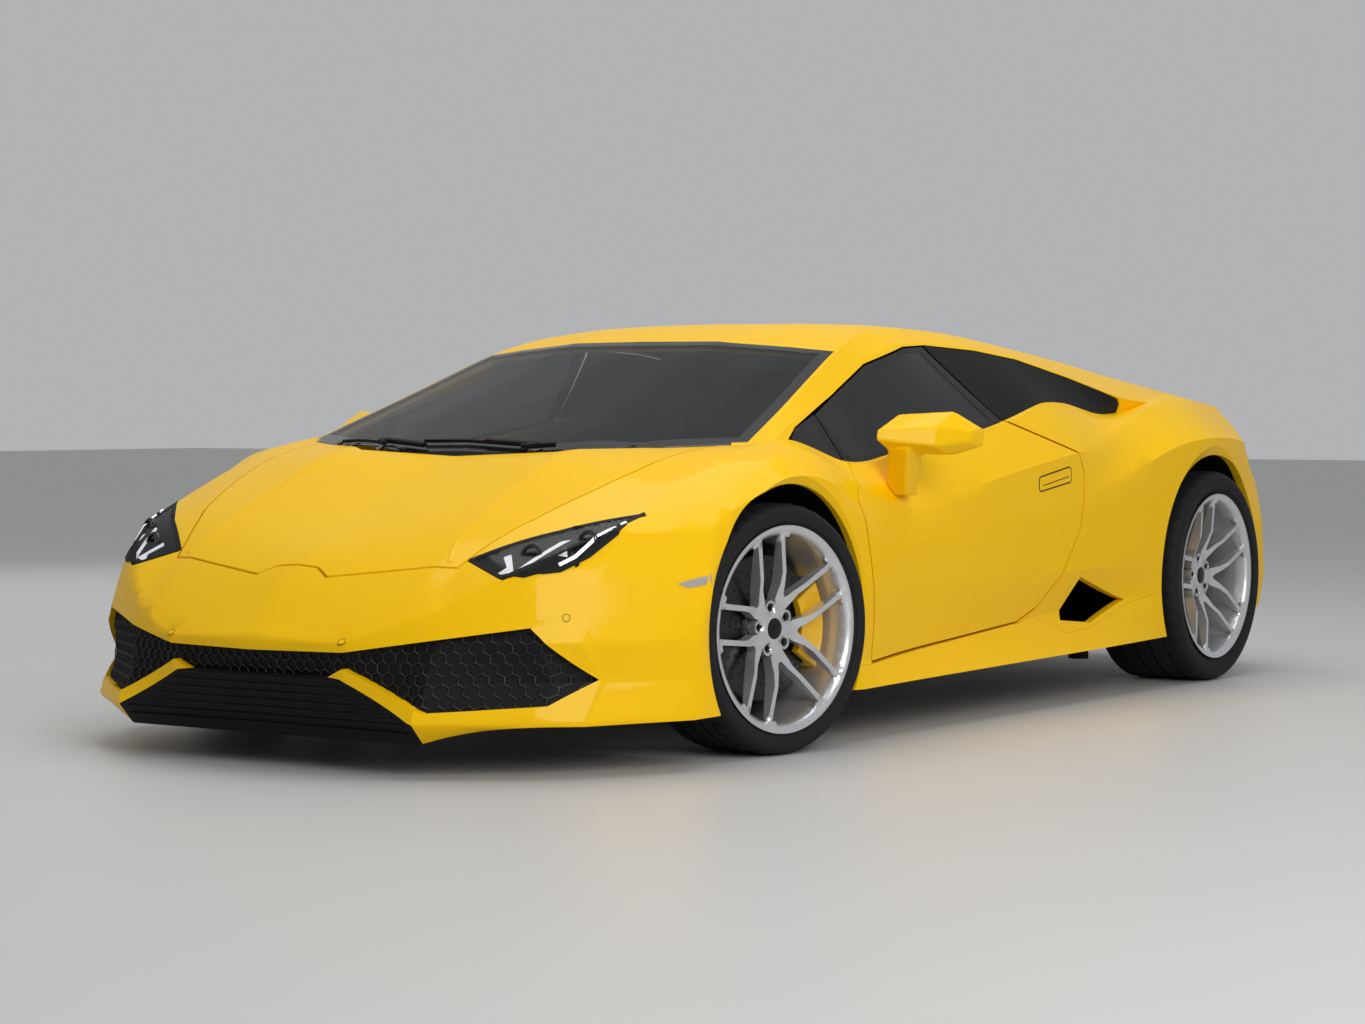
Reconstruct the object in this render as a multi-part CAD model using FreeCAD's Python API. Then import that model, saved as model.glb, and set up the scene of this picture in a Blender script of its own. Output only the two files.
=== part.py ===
import FreeCAD, Part
import math
import os

V = FreeCAD.Vector
doc = FreeCAD.newDocument("coupe")
sheet = doc.addObject("Spreadsheet::Sheet", "sizes")
sizes = {}


def size(alias, value):
    """Writes one driving dimension in the next row of the sheet."""
    row = len(sizes) + 1
    sheet.set(f"A{row}", alias)
    sheet.set(f"B{row}", str(value))
    sheet.setAlias(f"B{row}", alias)
    sizes[alias] = float(value)
    return sizes[alias]


# Overall sizes of the car, in millimetres
wheelbase = size("wheelbase", 2620)
front_overhang = size("front_overhang", 1045)
rear_overhang = size("rear_overhang", 794)
body_width = size("body_width", 1924)
body_height = size("body_height", 1165)
skin = size("panel_thickness", 26)
door_thickness = size("door_thickness", 95)
glass_thickness = size("glass_thickness", 5)
door_gap = size("door_gap", 7)
shut_gap = size("shut_gap", 6)
seam = size("seam_clearance", 0.3)
running_gap = size("running_gap", 0.3)

# Wheels and tyres: 245/30 R20 in front and 305/30 R20 behind
front_track = size("front_track", 1668)
rear_track = size("rear_track", 1620)
front_tyre_radius = size("front_tyre_radius", 327.5)
rear_tyre_radius = size("rear_tyre_radius", 345.5)
front_tyre_width = size("front_tyre_width", 245)
rear_tyre_width = size("rear_tyre_width", 305)
front_rim_width = size("front_rim_width", 228)
rear_rim_width = size("rear_rim_width", 292)
rim_lip_radius = size("rim_lip_radius", 271)
bead_radius = size("bead_radius", 256)
barrel_radius = size("barrel_radius", 228)
rim_wall = size("rim_wall", 9)
spindle_radius = size("spindle_radius", 30)
disc_radius = size("disc_radius", 190)
disc_thickness = size("disc_thickness", 32)
kingpin_y = size("kingpin_offset", 800)
rest_steer = size("rest_steer_angle", 8.5)
arch_gap_front = size("arch_gap_front", 50.5)
arch_gap_rear = size("arch_gap_rear", 54.5)
arch_lip = size("arch_lip_width", 33)
liner_thickness = size("liner_thickness", 4)
wheel_well_y = size("wheel_well_offset", 535)
hub_radius = size("hub_radius", 78)
lug_circle = size("lug_circle_radius", 56)
lug_hole_radius = size("lug_hole_radius", 13)
lug_boss_radius = size("lug_boss_radius", 19)
spoke_depth = size("spoke_depth", 30)
spoke_phase = size("spoke_phase_angle", 42)
front_recess = size("front_hub_recess", 45)
rear_recess = size("rear_hub_recess", 62)
disc_centre = size("disc_centre_offset", 11)
ball_joint_radius = size("ball_joint_radius", 24)
eye_half = size("eye_half_height", 14)
arm_radius = size("arm_radius", 13)
bead_inset = size("bead_inset", 22)
flange_width = size("rim_flange_width", 6)
shoulder_drop = size("tyre_shoulder_drop", 30)
shoulder_width = size("tyre_shoulder_width", 24)
upright_half = size("upright_half_height", 115)
tray_top = size("tray_top", 152)
hinge_room = size("cover_hinge_room", 4)

front_axle_x = (wheelbase + front_overhang + rear_overhang) / 2 - front_overhang
rear_axle_x = front_axle_x - wheelbase


def long(x):
    """Turns a styling distance from the front axle into the car's frame."""
    if x > 0:
        return front_axle_x + x * front_overhang / 1045
    if x > -2620:
        return front_axle_x + x * wheelbase / 2620
    return rear_axle_x + (x + 2620) * rear_overhang / 794


def wide(y):
    return y * body_width / 1924


def high(z):
    return z * body_height / 1165


def at(x, y, z):
    return V(long(x), wide(y), high(z))


def along(curve, x):
    """Height or half-width of a character line at station x, with no overshoot between its points."""
    curve = sorted(curve)
    if x <= curve[0][0]:
        (xa, a), (xb, b) = curve[0], curve[1]
        return a + (x - xa) * (b - a) / (xb - xa)
    if x >= curve[-1][0]:
        (xa, a), (xb, b) = curve[-2], curve[-1]
        return b + (x - xb) * (b - a) / (xb - xa)
    slopes = [(b - a) / (xb - xa) for (xa, a), (xb, b) in zip(curve, curve[1:])]
    tangents = [slopes[0]]
    for s, u in zip(slopes, slopes[1:]):
        tangents.append(0 if s * u <= 0 else 2 * s * u / (s + u))
    tangents.append(slopes[-1])
    for i, ((xa, a), (xb, b)) in enumerate(zip(curve, curve[1:])):
        if x <= xb:
            w = xb - xa
            q = (x - xa) / w
            return (a * (1 + 2 * q) * (1 - q) ** 2 + tangents[i] * w * q * (1 - q) ** 2
                    + b * q * q * (3 - 2 * q) - tangents[i + 1] * w * q * q * (1 - q))


# Character lines of the lower body: (distance from the front axle, half-width, height)
lower_lines = [
    # centre of nose and bonnet
    [(1150, 0, 228), (1040, 0, 330), (912, 0, 449), (848, 0, 508), (600, 0, 622), (400, 0, 702),
     (190, 0, 777), (0, 0, 806),
     (-220, 0, 815), (-660, 0, 780), (-1657, 0, 900), (-2415, 0, 900), (-3450, 0, 915)],
    # crease that runs up the bonnet
    [(1150, 411, 195), (1018, 400, 320), (900, 405, 435), (727, 411, 564), (500, 400, 679),
     (217, 386, 786), (0, 400, 808),
     (-220, 400, 815), (-660, 400, 780), (-1657, 400, 900), (-2415, 400, 900), (-3450, 400, 915)],
    # bonnet edge and inner edge of the lamp
    [(1150, 500, 165), (1000, 495, 315), (770, 490, 524), (600, 560, 622), (430, 610, 690),
     (284, 640, 740), (150, 665, 774),
     (0, 690, 797), (-220, 700, 815), (-660, 700, 790), (-1657, 640, 915), (-2415, 600, 912),
     (-3142, 560, 924), (-3450, 540, 918)],
    # crest of the front wing, then the waistline under the side glass, then the inner shoulder
    [(1150, 800, 120), (1000, 800, 300), (800, 800, 475), (676, 800, 545), (559, 800, 597),
     (456, 800, 637), (193, 800, 740),
     (-65, 800, 806), (-224, 802, 816), (-330, 830, 785), (-425, 858, 752), (-623, 852, 764),
     (-950, 851, 800), (-1236, 850, 837),
     (-1400, 845, 862), (-1600, 825, 915), (-2000, 775, 903), (-2260, 745, 880), (-2415, 735, 931),
     (-2620, 725, 936),
     (-3142, 620, 923), (-3450, 600, 915)],
    # outer wing, then the crease across the door that climbs over the rear shoulder
    [(1150, 870, 20), (1000, 870, 200), (676, 870, 465), (456, 870, 590), (312, 870, 664), (173, 890, 705),
     (0, 893, 776),
     (-150, 893, 785), (-300, 900, 740), (-366, 908, 710), (-500, 922, 650), (-658, 930, 619),
     (-948, 930, 658),
     (-1255, 930, 711), (-1657, 925, 762), (-1900, 892, 792), (-2180, 850, 847), (-2415, 803, 926),
     (-2620, 790, 930),
     (-2900, 760, 925), (-3142, 700, 905), (-3450, 680, 890)],
    # widest line over the wheel arches
    [(1150, 940, -50), (1000, 940, 130), (676, 930, 370), (456, 930, 520), (312, 930, 618),
     (173, 930, 668), (70, 950, 708),
     (0, 955, 728), (-150, 953, 716), (-300, 945, 655), (-366, 942, 600), (-500, 940, 555),
     (-658, 938, 530), (-1255, 937, 570),
     (-1657, 940, 610), (-1900, 946, 660), (-2180, 953, 745), (-2300, 957, 775), (-2415, 959, 795),
     (-2620, 960, 802),
     (-2850, 955, 795), (-3000, 935, 780), (-3142, 870, 765), (-3450, 850, 740)],
    # middle of the side
    [(1150, 955, -100), (1000, 955, 60), (676, 955, 300), (456, 955, 450), (312, 955, 480), (0, 958, 450),
     (-300, 953, 420), (-658, 930, 400),
     (-1400, 930, 400), (-1900, 946, 410), (-2200, 957, 430), (-2620, 962, 500), (-2900, 952, 510),
     (-3114, 905, 520), (-3450, 860, 520)],
    # top edge of the sill
    [(1150, 955, -150), (1000, 955, 30), (676, 957, 240), (399, 957, 250), (0, 957, 240), (-333, 938, 218),
     (-658, 908, 226), (-1321, 898, 268),
     (-1700, 893, 290), (-1950, 918, 306), (-2200, 954, 322), (-2620, 961, 330), (-2900, 950, 330),
     (-3114, 900, 330), (-3450, 850, 330)],
    # bottom edge of the body
    [(1150, 955, -200), (1000, 955, 0), (900, 955, 128), (399, 955, 130), (0, 957, 135), (-333, 955, 143),
     (-2190, 955, 167),
     (-2620, 955, 180), (-2900, 940, 195), (-3114, 880, 215), (-3450, 840, 230)],
    # underside
    [(1150, 0, -210), (1000, 0, -10), (900, 0, 118), (399, 0, 120), (-333, 0, 122), (-2190, 0, 130),
     (-2620, 0, 140), (-3114, 0, 200),
     (-3450, 0, 225)],
]
stations = [1150, 1040, 860, 740, 640, 540, 456, 370, 280, 173, 70, -97, -224, -425, -658, -950, -1236,
            -1450, -1657, -1900,
            -2260, -2620, -3142, -3300, -3450]
# How far each line moves in and down when the body is drawn inset: (inwards, downwards)
lower_inset = [(0, 1), (0, 1), (0.3, 1), (0.7, 0.8), (0.9, 0.6), (1, 0.3), (1, 0), (1, 0), (1, -0.8),
               (0, -0.8)]


def section(lines, insets, x, inset):
    """The left half of a cross-section, from the top centre round to the bottom centre."""
    half = []
    for line, (inward, down) in zip(lines, insets):
        y = along([(p[0], p[1]) for p in line], x)
        z = along([(p[0], p[2]) for p in line], x)
        half.append(at(x, max(y - inset * inward, 0), z - inset * down))
    return half


def polygon(points):
    return Part.makePolygon([*points, points[0]])


def lower_body(inset=0):
    """The left half of the body below the glass."""
    rings = [polygon(section(lower_lines, lower_inset, x, inset)) for x in stations]
    return Part.makeLoft(rings, True, False)


# Plan outlines that close the nose: height, then (distance, half-width) from the centre out
nose_levels = [
    (60, [(940, 0), (940, 284), (940, 470), (800, 690), (700, 800), (395, 990)]),
    (139, [(985, 0), (995, 284), (1000, 490), (835, 720), (730, 815), (399, 990)]),
    (234, [(1010, 0), (1008, 284), (970, 490), (780, 740), (656, 819), (398, 990)]),
    (330, [(1045, 0), (1018, 284), (935, 500), (812, 709), (720, 803), (392, 990)]),
    (378, [(1045, 0), (1018, 284), (920, 500), (800, 709), (690, 800), (380, 990)]),
    (485, [(1045, 0), (1018, 284), (900, 490), (765, 700), (640, 800), (330, 990)]),
    (591, [(1045, 0), (1018, 284), (870, 490), (690, 690), (559, 800), (250, 990)]),
    (740, [(1045, 0), (1018, 284), (800, 490), (590, 690), (470, 800), (150, 990)]),
    (1000, [(1045, 0), (1018, 284), (800, 490), (590, 690), (470, 800), (150, 990)]),
]
tail_levels = [
    (60, [(-3300, 0), (-3300, 360), (-3250, 690), (-3080, 860), (-2700, 1000)]),
    (200, [(-3380, 0), (-3370, 360), (-3300, 700), (-3130, 880), (-2800, 1000)]),
    (330, [(-3414, 0), (-3400, 360), (-3320, 715), (-3150, 890), (-2800, 1000)]),
    (520, [(-3400, 0), (-3385, 360), (-3300, 710), (-3125, 893), (-2800, 1000)]),
    (640, [(-3370, 0), (-3355, 360), (-3270, 700), (-3110, 875), (-2800, 1000)]),
    (764, [(-3345, 0), (-3330, 360), (-3240, 700), (-3080, 835), (-2780, 1000)]),
    (900, [(-3340, 0), (-3325, 360), (-3225, 640), (-3090, 770), (-2700, 1000)]),
    (1200, [(-3340, 0), (-3325, 360), (-3225, 640), (-3090, 770), (-2700, 1000)]),
]


def wrap(levels, inset, reach):
    """A block that closes one end of the car, following its plan outline at each height."""
    wires = []
    for z, half in levels:
        sign = 1 if half[0][0] > 0 else -1
        points = [V(long(x) - sign * inset, wide(y), high(z)) for x, y in half]
        rear = V(-sign * reach, points[-1].y, high(z))
        wires.append(polygon([*points, rear, V(rear.x, 0, rear.z)]))
    return Part.makeLoft(wires, True, True)


# Character lines of the glasshouse, from the centre out
house_lines = [
    [(260, 0, 757), (190, 0, 787), (-97, 0, 893), (-300, 0, 966), (-500, 0, 1038), (-657, 0, 1093),
     (-800, 0, 1126), (-978, 0, 1150),
     (-1200, 0, 1160), (-1400, 0, 1156), (-1629, 0, 1140), (-1955, 0, 1104), (-2300, 0, 1062),
     (-2666, 0, 1012), (-3054, 0, 960),
     (-3450, 0, 910)],
    [(260, 290, 750), (190, 290, 779), (-97, 290, 882), (-300, 280, 955), (-500, 270, 1028),
     (-657, 260, 1085), (-800, 250, 1120),
     (-978, 250, 1146), (-1200, 250, 1158), (-1400, 250, 1154), (-1629, 250, 1139), (-1955, 250, 1104),
     (-2300, 250, 1062),
     (-2666, 250, 1012), (-3054, 250, 960), (-3450, 250, 910)],
    [(260, 580, 710), (190, 570, 744), (-97, 560, 852), (-300, 540, 924), (-500, 520, 1000),
     (-657, 500, 1055), (-800, 470, 1097),
     (-978, 430, 1136), (-1200, 410, 1152), (-1400, 392, 1150), (-1629, 392, 1136), (-1955, 392, 1103),
     (-2300, 392, 1062),
     (-2666, 392, 1013), (-3054, 392, 962), (-3450, 392, 912)],
    [(260, 840, 660), (190, 830, 693), (-97, 766, 811), (-300, 722, 888), (-500, 678, 965),
     (-756, 621, 1065), (-900, 587, 1105),
     (-1085, 550, 1133), (-1320, 530, 1139), (-1629, 515, 1125), (-1955, 505, 1095), (-2300, 503, 1058),
     (-2666, 510, 1010),
     (-3054, 540, 958), (-3450, 560, 905)],
    [(260, 860, 640), (190, 850, 670), (-97, 808, 786), (-201, 782, 830), (-585, 700, 941),
     (-847, 650, 1034), (-1115, 622, 1088),
     (-1265, 610, 1095), (-1550, 620, 1083), (-1790, 640, 1058), (-2045, 690, 1003), (-2310, 745, 936),
     (-2500, 750, 920),
     (-3142, 610, 915), (-3450, 590, 900)],
    [(260, 870, 600), (190, 865, 640), (-97, 840, 720), (-224, 820, 750), (-425, 851, 735),
     (-623, 845, 757), (-950, 844, 793), (-1236, 843, 830),
     (-1400, 838, 855), (-1600, 818, 905), (-2000, 768, 893), (-2260, 738, 870), (-2415, 740, 860),
     (-2620, 720, 850), (-3142, 605, 840), (-3450, 585, 840)],
    [(260, 870, 500), (-224, 820, 500), (-425, 851, 500), (-1400, 838, 500), (-2000, 768, 500),
     (-2620, 720, 500), (-3142, 605, 500), (-3450, 585, 500)],
    [(260, 0, 500), (-3450, 0, 500)],
]
house_inset = [(0, 1), (0, 1), (0, 1), (0.5, 0.9), (0.8, 0.6), (1, 0.2), (1, 0), (0, 0)]
house_stations = [260, 190, 50, -97, -201, -425, -585, -756, -900, -1085, -1265, -1450, -1629, -1790,
                  -2045, -2310,
                  -2620, -3142, -3300, -3450]


def glasshouse(inset=0):
    """The left half of the roof, pillars, glass and rear buttress."""
    rings = [polygon(section(house_lines, house_inset, x, inset)) for x in house_stations]
    return Part.makeLoft(rings, True, False)


def side_prism(points, y0, y1):
    """A solid from a side view outline of (distance, height), between two widths."""
    face = Part.Face(polygon([V(long(x), wide(y0), high(z)) for x, z in points]))
    return face.extrude(V(0, wide(y1) - wide(y0), 0))


def plan_prism(points, z0, z1):
    """A solid from a plan outline of (distance, half-width), between two heights."""
    face = Part.Face(polygon([V(long(x), wide(y), z0) for x, y in points]))
    return face.extrude(V(0, 0, z1 - z0))


def front_prism(points, x0, x1):
    """A solid from a front view outline of (half-width, height), between two distances."""
    face = Part.Face(polygon([V(long(x0), wide(y), high(z)) for y, z in points]))
    return face.extrude(V(long(x1) - long(x0), 0, 0))


def flip(shape):
    return shape.mirror(V(0, 0, 0), V(0, 1, 0))


def pair(shape):
    return shape.fuse(flip(shape))


def full_plan(half):
    """Closes a half outline of (distance, half-width) over the centreline."""
    return half + [(x, -y) for x, y in reversed(half) if y > 0]


def block(x0, x1, y0, y1, z0, z1):
    """A box between styling distances, half-widths and heights."""
    return Part.makeBox(long(x1) - long(x0), wide(y1) - wide(y0), high(z1) - high(z0),
                        V(long(x0), wide(y0), high(z0)))


def bar(a, b, radius):
    """A round bar between two points."""
    return Part.makeCylinder(radius, (b - a).Length, a, b - a)


def hull(inset):
    """The left half of the outer form moved in by an inset: body and glasshouse."""
    nose = wrap(nose_levels, inset, 6000)
    tail = wrap(tail_levels, inset, 6000)
    return lower_body(inset).common(nose).common(tail), glasshouse(inset).common(tail)


def whole(half):
    """Joins a left half to its mirror image over the centreline."""
    return half.fuse(flip(half)).removeSplitter()


def add(label, shape):
    """Registers one sub-part of the document under its own label."""
    if shape.ShapeType == "Compound" and len(shape.Solids) == 1:
        shape = shape.Solids[0]
    feature = doc.addObject("Part::Feature", label)
    feature.Label = label
    feature.Shape = shape
    return feature


low_outer, top_outer = hull(0)
low_inner, top_inner = hull(skin)
low_shell = low_outer.cut(low_inner).cut(top_inner)
top_shell = top_outer.cut(top_inner).cut(low_outer)

# Wheel arches: a round opening with a chamfered facet round its lip
front_arch_radius = front_tyre_radius + arch_gap_front
rear_arch_radius = rear_tyre_radius + arch_gap_rear


def arch_cutter(x, z, radius, inboard):
    opening = Part.makeCylinder(radius, 1200 - inboard, V(x, inboard, z), V(0, 1, 0))
    facet = Part.makeCone(radius - 12, radius + arch_lip + 15, arch_lip * 0.9 + 12,
                          V(x, wide(962) - arch_lip * 0.9, z), V(0, 1, 0))
    return opening.fuse(facet)


front_arch = arch_cutter(front_axle_x, front_tyre_radius, front_arch_radius, 600)
rear_arch = arch_cutter(rear_axle_x, rear_tyre_radius, rear_arch_radius, 600)

# Outlines of the openings and of the panels that close them
bonnet_outline = [(850, 0), (850, 67), (873, 117), (792, 470), (717, 500), (629, 540), (595, 560),
                  (430, 612), (284, 645),
                  (158, 660), (16, 675), (-38, 690), (206, 335), (212, 0)]
lamp_outline = [(768, 486), (808, 622), (672, 752), (454, 802), (618, 655)]
cover_outline = [(-1700, 0), (-1700, 430), (-3040, 440), (-3040, 0)]
windscreen_outline = [(-657, 0), (-688, 300), (-748, 617), (-500, 668), (-300, 711), (-88, 752),
                      (190, 335), (196, 0)]
door_outline = [(-429, 790), (-432, 747), (-370, 654), (-412, 490), (-439, 326), (-440, 214), (-1321, 268),
                (-1435, 305),
                (-1538, 385), (-1654, 527), (-1683, 636), (-1700, 703), (-1676, 761), (-1362, 857),
                (-1359, 900), (-700, 900)]
door_core_outline = [(-446, 900), (-446, 742), (-386, 655), (-427, 488), (-454, 326), (-454, 225),
                     (-1318, 283), (-1427, 319),
                     (-1526, 394), (-1640, 534), (-1668, 640), (-1684, 703), (-1664, 748), (-1350, 845),
                     (-1345, 900)]
window_outline = [(-224, 823), (-330, 795), (-425, 760), (-623, 771), (-950, 807), (-1236, 844),
                  (-1400, 869), (-1600, 922), (-2000, 910),
                  (-2250, 890), (-2323, 911), (-2310, 930), (-2045, 997), (-1790, 1052), (-1550, 1077),
                  (-1265, 1089), (-1115, 1082),
                  (-847, 1028), (-585, 935), (-300, 850)]
intake_outline = [(0, 300), (284, 303), (705, 368), (812, 238), (745, 178), (505, 162), (280, 262),
                  (234, 240), (0, 240)]


def grown(points, gap):
    """The same outline moved outwards by a gap, with mitred corners."""
    area = sum(a[0] * b[1] - b[0] * a[1] for a, b in zip(points, points[1:] + points[:1]))
    turn = 1 if area > 0 else -1
    moved = []
    for before, here, after in zip(points[-1:] + points[:-1], points, points[1:] + points[:1]):
        run_in = math.hypot(here[0] - before[0], here[1] - before[1])
        run_out = math.hypot(after[0] - here[0], after[1] - here[1])
        nx_in, ny_in = (here[1] - before[1]) / run_in, (before[0] - here[0]) / run_in
        nx_out, ny_out = (after[1] - here[1]) / run_out, (here[0] - after[0]) / run_out
        spread = max(1 + nx_in * nx_out + ny_in * ny_out, 0.4)
        moved.append((here[0] + turn * gap * (nx_in + nx_out) / spread,
                      here[1] + turn * gap * (ny_in + ny_out) / spread))
    return moved


wing_outline = [(454, 802), (312, 870), (173, 930), (130, 960), (130, 1000), (-600, 1000), (-600, 600),
                (780, 440),
                (792, 470), (768, 486), (618, 655)]
bumper_outline = [(1300, -20), (1300, 1100), (130, 1100), (130, 960), (173, 930), (312, 870), (454, 802),
                  (618, 655),
                  (768, 486), (792, 470), (873, 117), (850, 67), (850, -20)]
tray_outline = [(905, -20), (905, 440), (780, 650), (640, 760), (430, 870), (-340, 870), (-2200, 880),
                (-2950, 860),
                (-3050, 700), (-3080, -20)]
sill_outline = [(-250, 40), (-250, 205), (-440, 205.5), (-1321, 262), (-1440, 276), (-1600, 218),
                (-1765, 226), (-2000, 286),
                (-2300, 330), (-2300, 40)]
quarter_outline = [(-1330, 1300), (-1330, 263.8), (-1440, 276.7), (-1600, 218.7), (-1765, 226.7),
                   (-2000, 286.7), (-2240, 322),
                   (-2620, 500), (-2980, 775), (-3600, 775), (-3600, 1300)]
side_vent_outline = [(-1680, 385), (-1990, 300), (-1765, 240), (-1590, 256)]
tail_outline = [(-20, 850), (640, 850), (800, 790), (815, 700), (700, 620), (300, 600), (-20, 600)]
diffuser_outline = [(-20, 330), (600, 330), (690, 260), (720, 60), (-20, 60)]
splitter_outline = [(-20, 239.7), (234, 239.7), (270, 236), (488, 134), (488, 20), (-20, 20)]
wing_end = [(-432, 2000), (-432, 747), (-370, 654), (-412, 490), (-439, 326), (-440, 211), (-440, -100),
            (-3000, -100), (-3000, 2000)]
door_glass_outline = [(-446, 730), (-623, 740), (-950, 780), (-1236, 815), (-1350, 830), (-1352, 867),
                      (-1240, 1082), (-1115, 1075),
                      (-847, 1021), (-585, 928), (-446, 882)]
quarter_glass_outline = [(-250, 815), (-330, 790), (-437, 740), (-437, 882), (-300, 845)]
shoulder_outline = [(-1374, 840), (-1600, 870), (-2000, 870), (-2300, 885), (-2314, 910), (-2302, 928),
                    (-2045, 994), (-1790, 1049), (-1550, 1074), (-1268, 1086), (-1256, 1086)]
tail_lamp_outline = [(540, 745), (785, 770), (795, 715), (700, 660), (560, 690)]

bonnet_hole = plan_prism(grown(full_plan(bonnet_outline), shut_gap), 350, 1200)
cover_hole = plan_prism(grown(full_plan(cover_outline), shut_gap), 700, 1300)
windscreen_hole = plan_prism(full_plan(windscreen_outline), 740, 1300)
door_hole = side_prism(grown(door_outline, door_gap), 600, 1100)
window_hole = side_prism(window_outline, 560, 880)
window_cut = [(-236, 818), *[(x, z - 90 if i <= 8 else z) for i, (x, z) in enumerate(window_outline[1:])]]
lamp_hole = plan_prism(grown(lamp_outline, seam), 300, 900)
intake_hole = front_prism(intake_outline, 600, 1200)
tail_hole = front_prism(tail_outline, -2900, -3700)
diffuser_hole = front_prism(grown(diffuser_outline, seam), -2690, -3700)
tray_height = high(175)
tray_hole = plan_prism(tray_outline, -100, tray_height)
glass_inner = glasshouse(glass_thickness)

# Bonnet, hinged at the windscreen
bonnet = low_shell.common(plan_prism(bonnet_outline, 350, 1200))
add("bonnet", whole(bonnet))

# Front wings
wing = low_shell.common(plan_prism(wing_outline, high(206), 1200)).cut(bonnet_hole)
wing = wing.cut(side_prism(grown(wing_end, door_gap), -100, 1100)).cut(front_arch)
add("front_wings", pair(wing))

# Front bumper with its intakes
bumper = low_shell.common(plan_prism(grown(bumper_outline, -seam), -100, 1300))
bumper = bumper.cut(bonnet_hole).cut(lamp_hole)
bumper = bumper.cut(intake_hole).cut(front_arch).cut(tray_hole)
bumper = bumper.cut(front_prism(grown(splitter_outline, seam), 500, 1200))
add("front_bumper", whole(bumper))
add("front_splitter", whole(low_shell.common(front_prism(splitter_outline, 500, 1200)).cut(tray_hole)))
nose_core = wrap(nose_levels, skin + 8, 6000)
grille = low_inner.cut(nose_core).common(front_prism(grown(intake_outline, 14), 600, 1200))
add("front_grilles", whole(grille))
add("headlamps", pair(low_shell.common(plan_prism(lamp_outline, 300, 900)).cut(bonnet_hole)))

# Undertray, sills and rear quarters
tray = low_shell.common(plan_prism(grown(tray_outline, -seam), -100, tray_height))
tray = tray.cut(arch_cutter(front_axle_x, front_tyre_radius, front_arch_radius,
                            wheel_well_y + 15)).cut(rear_arch)
add("undertray", whole(tray))
sill = low_shell.common(side_prism(sill_outline, 600, 1100)).cut(front_arch).cut(rear_arch).cut(tray_hole)
add("side_sills", pair(sill))
quarter = low_shell.common(side_prism(quarter_outline, 480, 1100)).cut(door_hole).cut(rear_arch)
quarter = quarter.cut(side_prism(side_vent_outline, 700, 1100)).cut(window_hole).cut(tail_hole)
add("rear_quarters", pair(quarter))

# Tail
rear = low_shell.common(side_prism([(-2700, 40), (-2700, 556), (-2980, 774.7), (-3600, 774.7),
                                    (-3600, 40)], -10, 1100))
rear = rear.cut(rear_arch).cut(tray_hole)
add("rear_bumper", whole(rear.cut(tail_hole).cut(diffuser_hole)))
exhausts = [Part.makeCylinder(45, 160, V(long(-3200), y, 255), V(-1, 0, 0)) for y in (400, 520)]
exhaust_holes = exhausts[0].fuse(exhausts[1])
exhaust_bores = [Part.makeCylinder(39, 160, V(long(-3203), y, 255), V(-1, 0, 0)) for y in (400, 520)]
diffuser = rear.common(front_prism(diffuser_outline, -2690, -3700)).cut(exhaust_holes)
add("rear_diffuser", whole(diffuser))
tips = Part.makeCompound([exhausts[0].cut(exhaust_bores[0]), exhausts[1].cut(exhaust_bores[1])])
add("exhaust_tips", Part.makeCompound([*tips.Solids, *flip(tips).Solids]))
lamp_tool = front_prism(tail_lamp_outline, -2900, -3700)
add("tail_lamps", pair(low_shell.common(lamp_tool)))
panel_tool = front_prism(grown(tail_outline, -seam), -2900, -3700)
rear_panel = low_shell.common(panel_tool).cut(front_prism(grown(tail_lamp_outline, seam), -2900, -3700))
add("rear_grille", whole(rear_panel))

# Roof, pillars and buttresses in one frame, and the engine cover between them
roof = top_shell.cut(windscreen_hole).cut(side_prism(window_cut, 560, 900))
roof = roof.cut(cover_hole).cut(tail_hole).cut(bonnet_hole)
roof = roof.common(block(-4000, 185, 0, 1100, 600, 1300))
add("roof_frame", whole(roof))
cover = top_outer.cut(top_inner).common(plan_prism(cover_outline, 700, 1300))
add("engine_cover", whole(cover))

# Glass
glass = top_outer.cut(glass_inner)
above_body = low_outer.translated(V(0, 0, seam))
screen = glass.common(plan_prism(grown(full_plan(windscreen_outline), -seam), 740, 1300)).cut(above_body)
add("windscreen", whole(screen))
side_glass = glass.common(side_prism(door_glass_outline, 560, 880)).cut(above_body)
add("door_glass_left", side_glass)
add("door_glass_right", flip(side_glass))
add("quarter_glass", pair(glass.common(side_prism(quarter_glass_outline, 560, 880)).cut(above_body)))
add("shoulder_intakes", pair(glass.common(side_prism(shoulder_outline, 560, 880)).cut(above_body)))

# Doors: panels as thick as the whole door
door = low_outer.common(side_prism(door_outline, 757, 1100))
door_back = low_outer.common(side_prism(grown(door_outline, 60), 700, 1100))
door_back.translate(V(0, -door_thickness, 0))
door_core = side_prism(door_core_outline, 690, 1110)
door = door.cut(door_back).cut(low_outer.translated(V(0, -skin, 0)).cut(door_core))
add("door_left", door)
add("door_right", flip(door))

# Door mirrors
def mirror_section(y, points):
    return polygon([at(x, y, z) for x, z in points])


mirror = Part.makeLoft([
    mirror_section(935, [(-440, 815), (-446, 842), (-560, 884), (-596, 880), (-596, 778), (-525, 778)]),
    mirror_section(1060, [(-545, 797), (-560, 850), (-650, 893), (-680, 885), (-672, 773), (-610, 773)]),
    mirror_section(1118, [(-650, 810), (-655, 838), (-700, 846), (-727, 841), (-722, 798), (-685, 794)])],
                       True, True)
stalk = Part.makeLoft([polygon([at(x, y, 660) for x, y in ((-655, 880), (-655, 945), (-590, 945),
                                                           (-590, 880))]),
                       polygon([at(x, y, 790) for x, y in ((-590, 940), (-590, 1000), (-500, 1000),
                                                           (-500, 940))])], True, True)
door_mirror = mirror.fuse(stalk).cut(low_outer)
add("mirror_left", door_mirror)
add("mirror_right", flip(door_mirror))

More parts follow.
